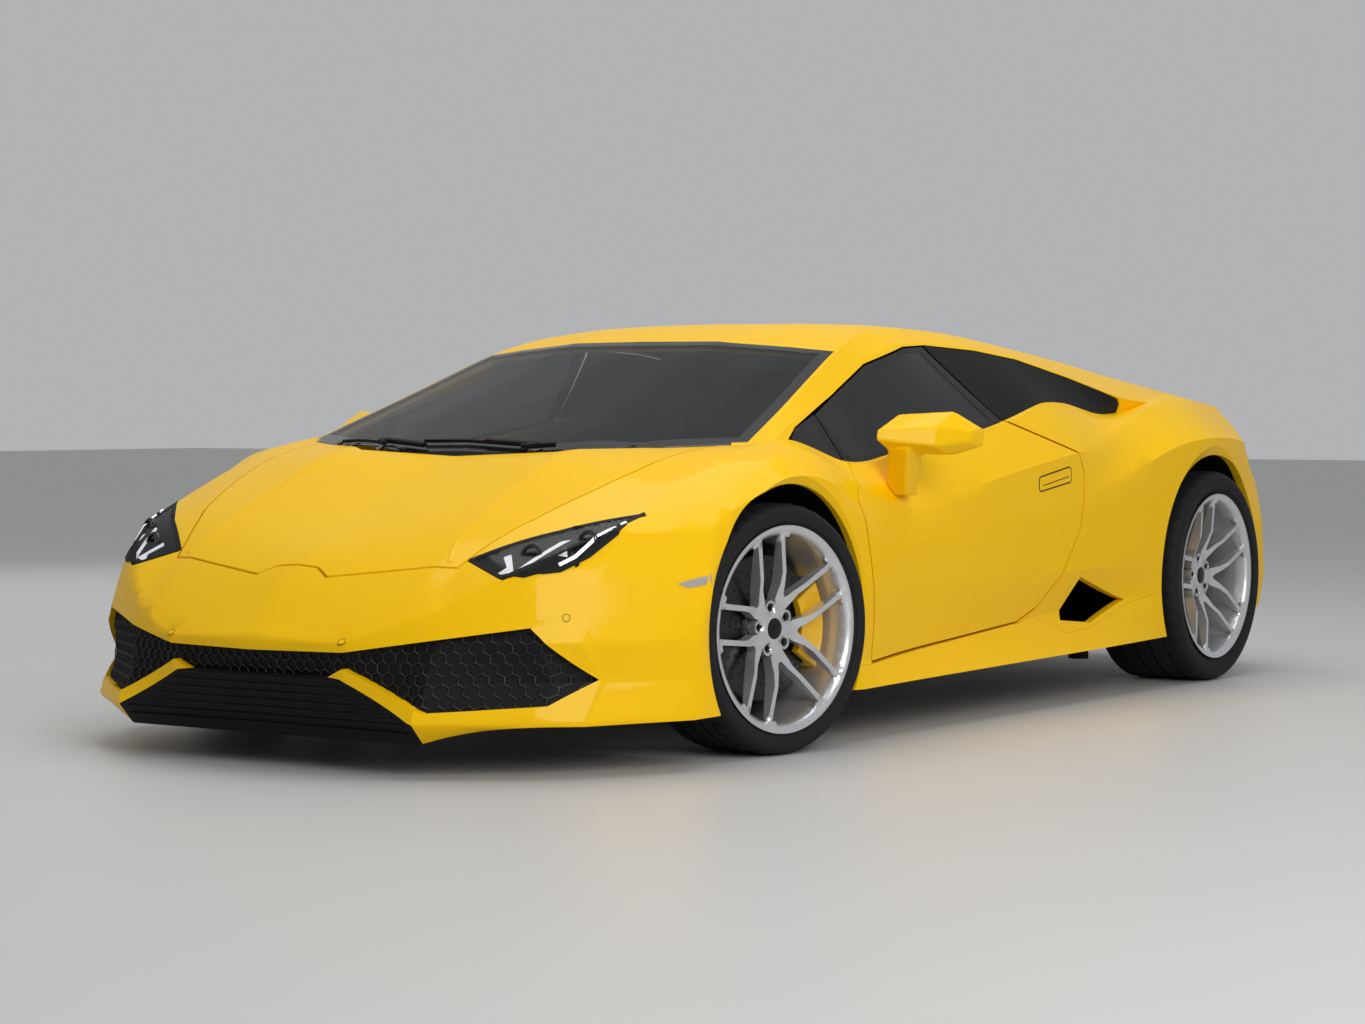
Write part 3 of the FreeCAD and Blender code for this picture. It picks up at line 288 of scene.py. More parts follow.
# Glass: a laminated windscreen and darker toughened side windows, grey in the mass and glossy. A black
# ceramic band is fired on round the screen and hides the glue, and a rubber lip seals each side window.
AXLE = 1.1845  # X of the front axle; places are given in millimetres ahead of it, to the left, and up
DOWN, LEFT_IN, LEFT_OUT = Vector((0, 0, -1)), Vector((0, -1, 0)), Vector((0, 1, 0))
BACK, AHEAD = Vector((-1, 0, 0)), Vector((1, 0, 0))
GLASS_CREASE = 20
screen_glass = finish("laminated_grey_glass", "#23282A", ("#202527", "#262B2D"), 400, Roughness=0.02,
                      IOR=1.5, Alpha=0.42)
side_tint = finish("toughened_dark_glass", "#141718", ("#121516", "#161A1B"), 400, Roughness=0.02, IOR=1.5,
                   Alpha=0.74)
# The ceramic reads as a black, glossy edge to the screen, and the rubber as a dull one
black_ceramic = finish("fired_black_ceramic", "#0A0A0B", ("#09090A", "#0D0D0E"), 30, Roughness=0.18)
black_rubber = finish("extruded_black_rubber", "#121213", ("#0F0F10", "#161617"), 3, 0.2, 0.1,
                      Roughness=0.65)
panel("windscreen", "body", screen_glass, GLASS_CREASE)
panel("quarter_glass", "body", side_tint, GLASS_CREASE)
for side in ("left", "right"):
    panel(f"door_glass_{side}", f"door_{side}", side_tint, GLASS_CREASE)


def spot(x, y, z=0.0):
    """A place in the car from millimetres: ahead of the front axle, to the left, and up."""
    return Vector((x / 1000 + AXLE, y / 1000, z / 1000))


def surface(*names):
    """The faces of CAD nodes as a tree, to lay pieces on."""
    places, faces = [], []
    for name in names:
        start = len(places)
        places += [vert.co.copy() for vert in nodes[name].data.vertices]
        faces += [[start + i for i in face.vertices] for face in nodes[name].data.polygons]
    return BVHTree.FromPolygons(places, faces)


def landed(tree, place, way):
    """Where a place comes down on a surface along a direction, with the normal that faces back."""
    hit, normal, _, _ = tree.ray_cast(place - way * 3, way)
    if hit is None:
        hit, normal, _, _ = tree.find_nearest(place)
    return hit, (-normal if normal.dot(way) > 0 else normal)


def laid(tree, points, way, step=12):
    """A line of places carried onto a surface along a direction, with the normals there."""
    line = []
    for start, end in zip(points, points[1:]):
        parts = max(1, round((end - start).length * 1000 / step))
        line += [start.lerp(end, k / parts) for k in range(parts)]
    return [landed(tree, place, way) for place in [*line, points[-1]]]


def strip(shape, rail, width, height, sink=1.0, closed=False):
    """Adds a low bar with eased edges along places with normals; sizes in millimetres."""
    half, top = width / 2000, height / 1000
    outline = ((-half, -sink / 1000), (-half, top * 0.5), (-half * 0.75, top), (half * 0.75, top),
               (half, top * 0.5), (half, -sink / 1000))
    loops, count = [], len(rail)
    for i, (place, normal) in enumerate(rail):
        before = rail[i - 1][0] if closed or i else place
        after = rail[(i + 1) % count][0] if closed or i + 1 < count else place
        across = (after - before).cross(normal).normalized()
        loops.append([shape.verts.new(place + across * s + normal * h) for s, h in outline])
    for i in range(count if closed else count - 1):
        a, b = loops[i], loops[(i + 1) % count]
        for k in range(6):
            shape.faces.new((a[k], a[(k + 1) % 6], b[(k + 1) % 6], b[k]))
    if not closed:
        shape.faces.new(loops[0])
        shape.faces.new(reversed(loops[-1]))


def closed_mesh(shape):
    """A plain mesh from a built shape, with its faces pointing outwards."""
    bmesh.ops.recalc_face_normals(shape, faces=shape.faces)
    mesh = bpy.data.meshes.new("mesh")
    shape.to_mesh(mesh)
    shape.free()
    return mesh


def mirrored(mesh):
    """The same mesh for the car's right side, with its faces turned outwards again."""
    other = mesh.copy()
    other.transform(Matrix.Scale(-1, 4, (0, 1, 0)))
    other.flip_normals()
    return other


def joined(*meshes):
    """Several meshes in one."""
    shape = bmesh.new()
    for mesh in meshes:
        shape.from_mesh(mesh)
    whole = bpy.data.meshes.new("joined")
    shape.to_mesh(whole)
    shape.free()
    return whole


def body_pair(name, mesh, material):
    """A piece on the body with its twin on the other side, as one."""
    return shown(name, joined(mesh, mirrored(mesh)), "body", material)


def door_pair(name, mesh, material):
    """A piece on the left door, and its twin on the right one."""
    for side, form in (("left", mesh), ("right", mirrored(mesh))):
        shown(f"{name}_{side}", form, f"door_{side}", material)


def border(name, way, inset, step=14):
    """The edge of a panel's outer face, in order, drawn in by an inset: places with normals."""
    shape = bmesh.new()
    shape.from_mesh(merged(name))
    reach = [max(shape.faces, key=lambda face: face.normal.dot(way) * face.calc_area())]
    outer = set(reach)
    while reach:
        for edge in reach.pop().edges:
            if len(edge.link_faces) == 2 and edge.calc_face_angle() < 0.6:
                for face in edge.link_faces:
                    if face not in outer:
                        outer.add(face)
                        reach.append(face)
    ends = {}
    for face in outer:
        for edge in face.edges:
            if sum(other in outer for other in edge.link_faces) == 1:
                for vert in edge.verts:
                    ends.setdefault(vert, []).append((edge.other_vert(vert), face.normal.copy()))
    first = min(ends, key=lambda vert: vert.co.x)
    line, seen, here = [], set(), first
    while here is not None and here not in seen:
        seen.add(here)
        line.append((here.co.copy(), sum((n for _, n in ends[here]), Vector()).normalized()))
        here = next((other for other, _ in ends[here] if other not in seen), None)
    shape.free()
    even = []
    for (a, n), (b, m) in zip(line, line[1:] + line[:1]):
        parts = max(1, round((b - a).length * 1000 / step))
        even += [(a.lerp(b, k / parts), n.lerp(m, k / parts).normalized()) for k in range(parts)]
    count = len(even)
    middle = sum((a for a, _ in even), Vector()) / count
    turn = sum((even[i - 1][0] - middle).cross(even[i][0] - middle).dot(even[i][1]) for i in range(count))
    hand = 1 if turn > 0 else -1
    drawn = []
    for i, (a, n) in enumerate(even):
        along = even[(i + 1) % count][0] - even[i - 1][0]
        drawn.append((a + n.cross(along).normalized() * hand * (inset / 1000), n))
    return drawn


shape = bmesh.new()
screen_edge = border("windscreen", Vector((0.4, 0, 0.9)), 17)
strip(shape, screen_edge, width=34, height=0.5, sink=0.3, closed=True)
glass_tree = surface("windscreen")
lower_edge = [spot(-70, 712), spot(60, 520), spot(163, 320), spot(168, 0), spot(163, -320), spot(60, -520),
              spot(-70, -712)]
strip(shape, laid(glass_tree, lower_edge, DOWN), width=52, height=0.7, sink=0.3)
top_edge = [spot(-715, 560), spot(-675, 300), spot(-650, 0), spot(-675, -300), spot(-715, -560)]
strip(shape, laid(glass_tree, top_edge, DOWN), width=40, height=0.7, sink=0.3)
shown("windscreen_band", closed_mesh(shape), "body", black_ceramic)
OUT_AND_UP = LEFT_OUT + Vector((0, 0, 0.6))
shape = bmesh.new()
strip(shape, border("quarter_glass", OUT_AND_UP, 7), width=16, height=0.8, sink=0.3, closed=True)
body_pair("quarter_seals", closed_mesh(shape), black_rubber)
shape = bmesh.new()
strip(shape, border("door_glass_left", OUT_AND_UP, 7), width=16, height=0.8, sink=0.3, closed=True)
side_tree = surface("door_glass_left")
divider = laid(side_tree, [spot(-472, 0, 765), spot(-462, 0, 872)], LEFT_IN)
strip(shape, divider, width=22, height=3, sink=0.3)
rear_pillar = laid(side_tree, [spot(-1322, 0, 858), spot(-1214, 0, 1070)], LEFT_IN)
strip(shape, rear_pillar, width=34, height=2, sink=0.3)
door_pair("window_seal", closed_mesh(shape), black_rubber)

# Cowl and wipers: a moulded black tray fills the slot between the bonnet and the glass, and two steel arms,
# enamelled black, lie across the foot of the windscreen with a rubber blade each.
shape = bmesh.new()
for start, end in ((spot(168, 395), spot(140, -160)), (spot(176, -130), spot(70, -560))):
    strip(shape, laid(glass_tree, [start, end], DOWN), width=9, height=14, sink=-6)
    strip(shape, laid(glass_tree, [start, start.lerp(end, 0.6)], DOWN), width=16, height=19, sink=-13)
shown("wipers", closed_mesh(shape), "body", black_moulding)
shape = bmesh.new()
cowl_line = [spot(-96, 752, 790), spot(50, 560, 782), spot(184, 352, 772), spot(206, 330, 768),
             spot(212, 0, 768)]
cowl_line += [Vector((p.x, -p.y, p.z)) for p in reversed(cowl_line[:-1])]
cowl_depth, cowl_facing = Vector((0, 0, 0.012)), Vector((0.3, 0, 1)).normalized()
strip(shape, [(place - cowl_depth, cowl_facing) for place in cowl_line], width=46, height=2)
shown("cowl", closed_mesh(shape), "body", black_moulding)

# Headlamps: a black moulded tray behind a smoked polycarbonate lens, with white light guides on it and along
# its lower edge, and a pair of metallised rings where each of the two projectors sits.
# The lens shines and dims what lies under it, the guides glow a cold white, and the rings glint
clear_lens = finish("clear_polycarbonate", "#15171A", ("#121417", "#191B1E"), 60, Roughness=0.03,
                    Alpha=0.18, IOR=1.58)
light_guide = finish("frosted_white_acrylic", "#F2F5F7", ("#EEF1F4", "#F6F8FA"), 20, Roughness=0.3,
                     Emission_Strength=0.55, Emission_Color="#F2F6FA")
satin_metal = finish("vacuum_metallised_plastic", "#4A4C50", ("#434549", "#525458"), 12, Metallic=0.9,
                     Roughness=0.3)
LAMP_OUTLINE = ((768, 486), (808, 622), (672, 752), (454, 802), (618, 655))
CHIN_OUTLINE = ((796, 624), (808, 622), (783, 669), (752, 703), (714, 731), (642, 767), (564, 797),
                (520, 792), (672, 748), (684, 733))
GUIDES = (((741, 574), (728, 588), (780, 634), (798, 590), (770, 606)),
          ((650, 686), (638, 704), (772, 652), (790, 632)),
          ((694, 704), (669, 713), (690, 734), (706, 722), (722, 700), (704, 712)))
FOOT_GUIDE = ((520, 788), (600, 766), (672, 742), (712, 722))
PROJECTORS = ((716, 640, 27), (623, 745, 25))  # ahead of the axle, to the left, radius


def patch(shape, tree, outline, way, lift=0.0, thickness=2.0, step=30):
    """Adds a skin that lies on a surface inside an outline carried there; sizes in millimetres."""
    part = bmesh.new()
    part.faces.new([part.verts.new(place) for place in outline])
    bmesh.ops.triangulate(part, faces=part.faces)
    for axis in range(3):
        line = Vector([1.0 if k == axis else 0.0 for k in range(3)])
        if abs(way.dot(line)) < 0.7:
            low, high = min(p[axis] for p in outline), max(p[axis] for p in outline)
            for k in range(1, int((high - low) * 1000 / step) + 1):
                bmesh.ops.bisect_plane(part, geom=[*part.verts, *part.edges, *part.faces], dist=1e-6,
                                       plane_co=line * (low + k * step / 1000), plane_no=line)
    top, low = {}, {}
    for vert in part.verts:
        hit, normal = landed(tree, vert.co, way)
        top[vert] = shape.verts.new(hit + normal * (lift / 1000))
        low[vert] = shape.verts.new(hit + normal * ((lift - thickness) / 1000))
    for face in part.faces:
        shape.faces.new([top[v] for v in face.verts])
        shape.faces.new([low[v] for v in reversed(face.verts)])
    for edge in part.edges:
        if len(edge.link_faces) == 1:
            a, b = edge.verts
            shape.faces.new((top[a], top[b], low[b], low[a]))
    part.free()


def circle(place, normal, radius, parts=24):
    """Places round a circle, with the one normal."""
    across = normal.orthogonal().normalized()
    along = normal.cross(across)
    turns = [2 * math.pi * k / parts for k in range(parts)]
    return [(place + (across * math.cos(a) + along * math.sin(a)) * (radius / 1000), normal) for a in turns]


lamp_tree = surface("headlamps")
chin_tree = surface("headlamps", "front_bumper", "front_wings")
lamp_outline = [spot(*p) for p in LAMP_OUTLINE]
shape = bmesh.new()
patch(shape, lamp_tree, lamp_outline, DOWN, lift=0.6, thickness=2, step=12)
lens = closed_mesh(shape)
lens_pair = smooth(joined(lens, mirrored(lens)), GLASS_CREASE)
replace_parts(shown("headlamp_lenses", lens_pair, "body", clear_lens), "headlamps")
shape = bmesh.new()
patch(shape, lamp_tree, lamp_outline, DOWN, lift=-2.9, thickness=2, step=12)
lamp_edge = laid(lamp_tree, [*lamp_outline, lamp_outline[0]], DOWN)[:-1]
strip(shape, lamp_edge, width=9, height=-1, sink=8, closed=True)
lamp_rim = border("headlamps", Vector((0.5, 0.3, 0.8)), 3)
strip(shape, lamp_rim, width=13, height=1.5, sink=0.3, closed=True)
patch(shape, chin_tree, [spot(*p) for p in CHIN_OUTLINE], DOWN, lift=4, thickness=5, step=10)
body_pair("headlamp_trays", closed_mesh(shape), black_moulding)
shape = bmesh.new()
for points in GUIDES:
    patch(shape, lamp_tree, [spot(*p) for p in points], DOWN, lift=-1.8, thickness=2.2, step=12)
foot_line = laid(chin_tree, [spot(*p) for p in FOOT_GUIDE], DOWN)
strip(shape, [(place + normal * 0.0045, normal) for place, normal in foot_line], width=9, height=1.5)
body_pair("headlamp_light_guides", closed_mesh(shape), light_guide)
shape = bmesh.new()
for x, y, radius in PROJECTORS:
    centre, facing = landed(lamp_tree, spot(x, y), DOWN)
    forward = (facing * 0.4 + Vector((0.9, 0.25, 0))).normalized()
    centre -= facing * 0.005
    for size, rise in ((radius, 0.0), (radius * 0.8, 3.0)):
        ring = circle(centre + forward * rise / 1000, forward, size)
        strip(shape, ring, width=4, height=5, sink=4, closed=True)
body_pair("headlamp_projector_rings", closed_mesh(shape), satin_metal)

# Small body fittings: flush door handles in rounded grooves, plain parking sensors, smoked side markers, the
# pressed creases of the bonnet and the slats of the splitter. The badge's place stays bare paint.
# The grooves round the handles and the gaps round the sensors are painted shade: thin dark lines in the
# yellow stand for the shadow in them. The markers show as pale, glossy chips
painted_gap_shade = finish("shadowed_seam_sealer", "#3A2C00", ("#342700", "#423200"), 8, Roughness=0.7)
marker_lens = finish("smoked_clear_acrylic", "#A8A39A", ("#9C978E", "#B5B0A8"), 9, Roughness=0.12,
                     Coat_Weight=0.6)
BESIDE = 950  # a distance out from the middle that clears the car's flank
HANDLE_OUTLINE = ((-1408, 652), (-1402, 662), (-1405, 688), (-1413, 695), (-1600, 722), (-1612, 716),
                  (-1608, 682), (-1600, 676))
SENSORS = ((1017, 285, 330), (733, 760, 391))
BONNET_CREASE_LINE = ((190, 384), (217, 386), (500, 400), (727, 411), (785, 440))
SLATS = ((232, 262), (212, 300), (192, 344), (172, 384), (152, 424), (132, 460), (112, 462))  # z, half width
MARKER_OUTLINE = ((470, 467), (384, 488), (386, 465), (449, 455))
door_tree = surface("door_left")
handle_outline = [spot(x, BESIDE, z) for x, z in HANDLE_OUTLINE]
shape, handle_gap_shade = bmesh.new(), bmesh.new()
patch(shape, door_tree, handle_outline, LEFT_IN, lift=0.8, thickness=3)
edge = laid(door_tree, [*handle_outline, handle_outline[0]], LEFT_IN)[:-1]
# The dark strips round the handle and along its pull are painted shade for the groove
strip(handle_gap_shade, edge, width=5, height=1.0, sink=3, closed=True)
pull_line = laid(door_tree, [spot(-1424, BESIDE, 669), spot(-1592, BESIDE, 693)], LEFT_IN)
strip(handle_gap_shade, [(place + normal * 0.0008, normal) for place, normal in pull_line], width=3, height=0.6)
door_pair("door_handle", smooth(closed_mesh(shape), 30), yellow_paint)
door_pair("door_handle_groove", closed_mesh(handle_gap_shade), painted_gap_shade)
bumper_tree = surface("front_bumper")
shape, sensor_gap_shade = bmesh.new(), bmesh.new()
for x, y, z in SENSORS:
    centre, facing = landed(bumper_tree, spot(x, y, z), BACK)
    # Each dark ring round a sensor is painted shade for the gap there
    strip(sensor_gap_shade, circle(centre, facing, 9.5), width=1.6, height=0.4, sink=0.5, closed=True)
    strip(shape, circle(centre, facing, 4.2), width=8.2, height=0.9, sink=0.5, closed=True)
body_pair("parking_sensors", closed_mesh(shape), yellow_paint)
body_pair("parking_sensor_rings", closed_mesh(sensor_gap_shade), painted_gap_shade)
bonnet_tree = surface("bonnet")
shape = bmesh.new()
for hand in (1, -1):
    crease = laid(bonnet_tree, [spot(x, hand * y) for x, y in BONNET_CREASE_LINE], DOWN)
    strip(shape, crease, width=13, height=1.8, sink=0.5)
shown("bonnet_creases", smooth(closed_mesh(shape), 80), "bonnet", yellow_paint)
splitter_tree = surface("front_splitter")
shape = bmesh.new()
for z, half in SLATS:
    slat = laid(splitter_tree, [spot(1000, half, z), spot(1000, 0, z), spot(1000, -half, z)], BACK, 40)
    strip(shape, slat, width=7, height=5)
shown("splitter_slats", closed_mesh(shape), "body", black_moulding)
shape = bmesh.new()
marker_tree = surface("front_wings", "front_bumper")
marker_outline = [spot(x, BESIDE, z) for x, z in MARKER_OUTLINE]
patch(shape, marker_tree, marker_outline, LEFT_IN, lift=1.5, thickness=3, step=25)
body_pair("side_markers", closed_mesh(shape), marker_lens)

# Road wheels: one-piece cast alloy rims, turned and lacquered bright silver, on five black-anodised bolts
# round a plain centre cap. The tyres have four round grooves and a shoulder cut every fourth step.
silver_rim = finish("lacquered_cast_alloy", "#D3D4D6", ("#CDCED0", "#D8D9DB"), 40, Metallic=0.75,
                    Roughness=0.3, Coat_Weight=0.5)
# axle x, wheel centre y, tyre radius, tyre width, rim width, and how far the hub face lies inside the rim
WHEELS = {"front": (0, 834, 327.5, 245, 228, 45), "rear": (-2620, 810, 345.5, 305, 292, 62)}
KINGPIN, REST_STEER = 800, -8.5
BEAD, FRONT_RADIUS, SHOULDER = 258, 327.5, 36
GROOVE_DEPTH, SHOULDER_CUT = 6.5, 5
TYRE_SIDES = 160
BOLT_CIRCLE, BOLT_TURN = 56, 78
DRILLINGS = ((104, 0), (126, 4), (148, 8), (170, 2))  # radius of each ring of holes, and its turn
DISC_FACE = 27.1


def fitted(mesh, axle, side):
    """A wheel's mesh, drawn about the Y axis with outboard at +Y, taken to its hub as it is steered."""
    x, y, radius = WHEELS[axle][:3]
    place = Matrix.Translation(spot(x, y, radius))
    if side == "right":
        place = Matrix.Scale(-1, 4, (0, 1, 0)) @ place
    if axle == "front":
        pin = spot(0, KINGPIN if side == "left" else -KINGPIN)
        turn = Matrix.Rotation(math.radians(REST_STEER), 4, "Z")
        place = Matrix.Translation(pin) @ turn @ Matrix.Translation(-pin) @ place
    copy = mesh.copy()
    copy.transform(place)
    if side == "right":
        copy.flip_normals()
    return copy


def turned(shape, outline, sides=96, notched=()):
    """Adds a ring turned about the Y axis from (radius, outboard) points, some of them sunk now and then."""
    loops = []
    for k in range(sides):
        a = 2 * math.pi * k / sides
        sunk = SHOULDER_CUT if k % 4 == 0 else 0
        radii = [r - (sunk if i in notched else 0) for i, (r, _) in enumerate(outline)]
        loops.append([shape.verts.new((r / 1000 * math.cos(a), w / 1000, r / 1000 * math.sin(a)))
                      for r, (_, w) in zip(radii, outline)])
    for k in range(sides):
        a, b = loops[k], loops[(k + 1) % sides]
        for i in range(len(outline)):
            j = (i + 1) % len(outline)
            shape.faces.new((a[i], a[j], b[j], b[i]))


stud_ring, given = new_tree("stud_ring", Count="Int", Ring_radius="Float", Stud_radius="Float",
                            Stud_height="Float", Sides="Int", Finish="Material")
ring_line = put(stud_ring, "GeometryNodeMeshCircle", Vertices=given["Count"], Radius=given["Ring radius"])
stud = put(stud_ring, "GeometryNodeMeshCylinder", Vertices=given["Sides"], Radius=given["Stud radius"],
           Depth=given["Stud height"])
studs = put(stud_ring, "GeometryNodeInstanceOnPoints", Points=ring_line, Instance=stud)
solid_studs = put(stud_ring, "GeometryNodeRealizeInstances", Geometry=studs)
coated = put(stud_ring, "GeometryNodeSetMaterial", Geometry=solid_studs, Material=given["Finish"])
put(stud_ring, "NodeGroupOutput", i0=coated)
# Anodised steel: nearly black, with a soft metallic highlight on each bolt head and on the cap
black_anodised = finish("black_anodised_steel", "#1B1B1D", ("#171719", "#202023"), 4, Metallic=0.6,
                        Roughness=0.35)


def stud_mesh(count, ring_radius, radius, height, sides, outboard, turn=0.0):
    """Studs round the wheel's axis at an outboard distance; sizes in millimetres, turn in degrees."""
    mesh = grown_from(stud_ring, Count=count, Ring_radius=ring_radius / 1000, Stud_radius=radius / 1000,
                      Stud_height=height / 1000, Sides=sides, Finish=black_anodised)
    tilt = Matrix.Rotation(math.radians(-turn), 4, "Y") @ Matrix.Rotation(math.radians(90), 4, "X")
    mesh.transform(Matrix.Translation((0, outboard / 1000, 0)) @ tilt)
    return mesh


# The tyre is matt and nearly black, and the ground disc a dark metal that glints behind the spokes
tyre_rubber = finish("moulded_tyre_rubber", "#17171A", ("#131315", "#1B1B1E"), 4, 0.3, 0.2, Roughness=0.75,
                     Specular_IOR_Level=0.3)
disc_iron = finish("ground_cast_iron", "#3C3D3F", ("#343537", "#454648"), 3, 0.2, 0.05, Metallic=0.9,
                   Roughness=0.35)
# The front sidewall from bead to shoulder: radius, and how far it lies inside the tyre's full half width
SIDEWALL = ((258, -24.5), (270, -18.5), (274, -13), (281, -8), (282, -4.5), (290, -2.5), (300, -0.5),
            (308, -1), (314, -4), (320, -10), (324.5, -18), (326.8, -27), (FRONT_RADIUS, -SHOULDER))
for axle, (_, _, radius, width, rim_width, recess) in WHEELS.items():
    stretch = (radius - BEAD) / (FRONT_RADIUS - BEAD)
    wall = [(BEAD + (r - BEAD) * stretch, width / 2 + w) for r, w in SIDEWALL]
    tread = []
    for share in (1.5, 0.5, -0.5, -1.5):
        centre = share * (width / 2 - SHOULDER) / 2.1
        tread += [(radius, centre + 4.5), (radius - GROOVE_DEPTH, centre + 3.5),
                  (radius - GROOVE_DEPTH, centre - 3.5), (radius, centre - 4.5)]
    outline = wall + tread + [(r, -w) for r, w in reversed(wall)]
    near, far = len(wall), len(outline) - len(wall)
    notched = (*range(near - 3, near + 1), *range(far - 1, far + 3))
    shape = bmesh.new()
    turned(shape, outline, TYRE_SIDES, notched)
    tyre = smooth(closed_mesh(shape), 28)
    hub = rim_width / 2 - recess
    shape = bmesh.new()
    cap_outline = [(0.5, hub + 6.5), (22, hub + 6), (27, hub + 3.5), (29, hub), (29, hub - 3), (0.5, hub - 3)]
    turned(shape, cap_outline, 48)
    cap = smooth(closed_mesh(shape), 30)
    bolts = joined(*[stud_mesh(5, BOLT_CIRCLE, size, high, 6, hub - 9 + out, BOLT_TURN)
                     for size, high, out in ((9.5, 12, 0), (6, 16, 2))])
    # The disc is not drilled: each hole is a dark stud of painted shade set on the disc face
    drilling_shade_dots = joined(*[stud_mesh(30, r, 3.4, 0.8, 8, DISC_FACE, turn) for r, turn in DRILLINGS])
    for side in ("left", "right"):
        wheel = f"{axle}_wheel_{side}"
        panel(f"rim_{axle}_{side}", wheel, silver_rim, 30)
        panel(f"brake_disc_{axle}_{side}", wheel, disc_iron, 30)
        for name, mesh, slot, material in (("tyre_{}_tread", tyre, "tyre_rubber", tyre_rubber),
                                           ("wheel_bolts_{}", bolts, "black_trim", black_anodised),
                                           ("wheel_cap_{}", cap, "black_trim", black_anodised),
                                           ("disc_drillings_{}", drilling_shade_dots, "disc_iron", black_moulding)):
            label = name.format(f"{axle}_{side}")
            piece = shown(label, fitted(mesh, axle, side), wheel, material)
            if mesh is tyre:
                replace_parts(piece, f"tyre_{axle}_{side}")
# The calipers show as smooth, deeper yellow through the spokes
caliper_enamel = finish("baked_yellow_enamel", "#F2B800", ("#ECB200", "#F6BD05"), 20, Roughness=0.35,
                        Coat_Weight=0.4)
dress(caliper_enamel, "caliper_left", "caliper_right", "rear_calipers")

# Door mirrors: a moulded shell with rounded edges, painted with the body, and silvered glass held in its
# open back.
MIRROR_VOXEL_MM, MIRROR_PASSES = 3.5, 14
MIRROR_GLASS = ((955, 792), (1050, 786), (1103, 806), (1103, 834), (1052, 872), (955, 868))


def rounded(mesh, voxel_mm, passes):
    """A closed solid remeshed evenly, with its edges worn round by smoothing."""
    holder = holding(mesh)
    even = holder.modifiers.new("even", "REMESH")
    even.mode, even.voxel_size = "VOXEL", voxel_mm / 1000
    soften = holder.modifiers.new("soften", "SMOOTH")
    soften.iterations, soften.factor = passes, 0.5
    return softened(settled(holder))


for side in ("left", "right"):
    form = rounded(merged(f"mirror_{side}"), MIRROR_VOXEL_MM, MIRROR_PASSES)
    shell = shown(f"mirror_{side}_shell", form, f"door_{side}", yellow_paint)
    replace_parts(shell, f"mirror_{side}")
# The silver behind the glass reflects the room sharply
silvered_glass = finish("silvered_glass", "#C9CED2", ("#C6CBCF", "#CCD1D5"), 50, Metallic=1.0,
                        Roughness=0.03)
shape = bmesh.new()
glass_outline = [spot(-700, y, z) for y, z in MIRROR_GLASS]
patch(shape, surface("mirror_left"), glass_outline, AHEAD, lift=1.2, thickness=3)
door_pair("mirror_glass", closed_mesh(shape), silvered_glass)

# Tail lamps and exhaust: red acrylic lamps with three brighter light guides each, and twin polished steel
# tips a side.
TAIL_GUIDES = (((568, 739), (770, 760)), ((590, 700), (695, 678), (775, 716)), ((640, 722), (770, 735)))
# The lamps are a deep, glossy red, and the guides in them look lit
tail_lens = finish("red_acrylic", "#4A0508", ("#400406", "#56060A"), 30, Roughness=0.1, Coat_Weight=0.8)
dress(tail_lens, "tail_lamps")
red_guide = finish("lit_red_acrylic", "#D0121C", ("#C8101A", "#D8161F"), 15, Roughness=0.2,
                   Emission_Strength=0.4, Emission_Color="#E0141E")
tail_tree = surface("tail_lamps", "rear_grille")
shape = bmesh.new()
for line in TAIL_GUIDES:
    strip(shape, laid(tail_tree, [spot(-3200, y, z) for y, z in line], AHEAD), width=9, height=2.5)
body_pair("tail_light_guides", closed_mesh(shape), red_guide)
# The brushed tips blur what they reflect
steel = finish("brushed_stainless_steel", "#8A8A8C", ("#7F7F81", "#949496"), 2, 0.1, 0.05, Metallic=1.0,
               Roughness=0.3)
dress(steel, "exhaust_tips")

# Engine cover: a pane of dark glass let into the yellow frame, under seven louvre blades of black nylon that
# stand one behind the other to let the heat out.
BLADES, FIRST_BLADE, BLADE_PITCH, BLADE_CHORD = 7, -1790, 166, 128
PANE_OUTLINE = ((-1752, 372), (-2985, 352), (-2985, -352), (-1752, -372))


def eased(mesh, width, segments=3):
    """The same solid with its flat faces made whole and its edges rounded by a width in millimetres."""
    shape = bmesh.new()
    shape.from_mesh(mesh)
    bmesh.ops.dissolve_limit(shape, angle_limit=math.radians(1.5), verts=shape.verts, edges=shape.edges)
    sharp = [edge for edge in shape.edges if len(edge.link_faces) == 2 and edge.calc_face_angle() > 0.25]
    bmesh.ops.bevel(shape, geom=sharp, offset=width / 1000, segments=segments, profile=0.5, affect="EDGES",
                    clamp_overlap=True)
    shape.to_mesh(mesh)
    shape.free()
    return mesh


cover_tree = surface("engine_cover")
shape = bmesh.new()
patch(shape, cover_tree, [spot(x, y) for x, y in PANE_OUTLINE], DOWN, lift=0.8, thickness=2, step=90)
shown("engine_cover_pane", closed_mesh(shape), "engine_cover", black_ceramic)
shape = bmesh.new()
for k in range(BLADES):
    front, half = FIRST_BLADE - BLADE_PITCH * k, 352 - 5 * k
    back = front - BLADE_CHORD
    blade = [spot(front, half - 40), spot(front - 70, half), spot(back, half), spot(back, -half),
             spot(front - 70, -half), spot(front, 40 - half)]
    patch(shape, cover_tree, blade, DOWN, lift=13, thickness=7, step=70)
blades = smooth(eased(closed_mesh(shape), 2.5, 2), 30)
shown("engine_louvres", blades, "engine_cover", black_moulding)

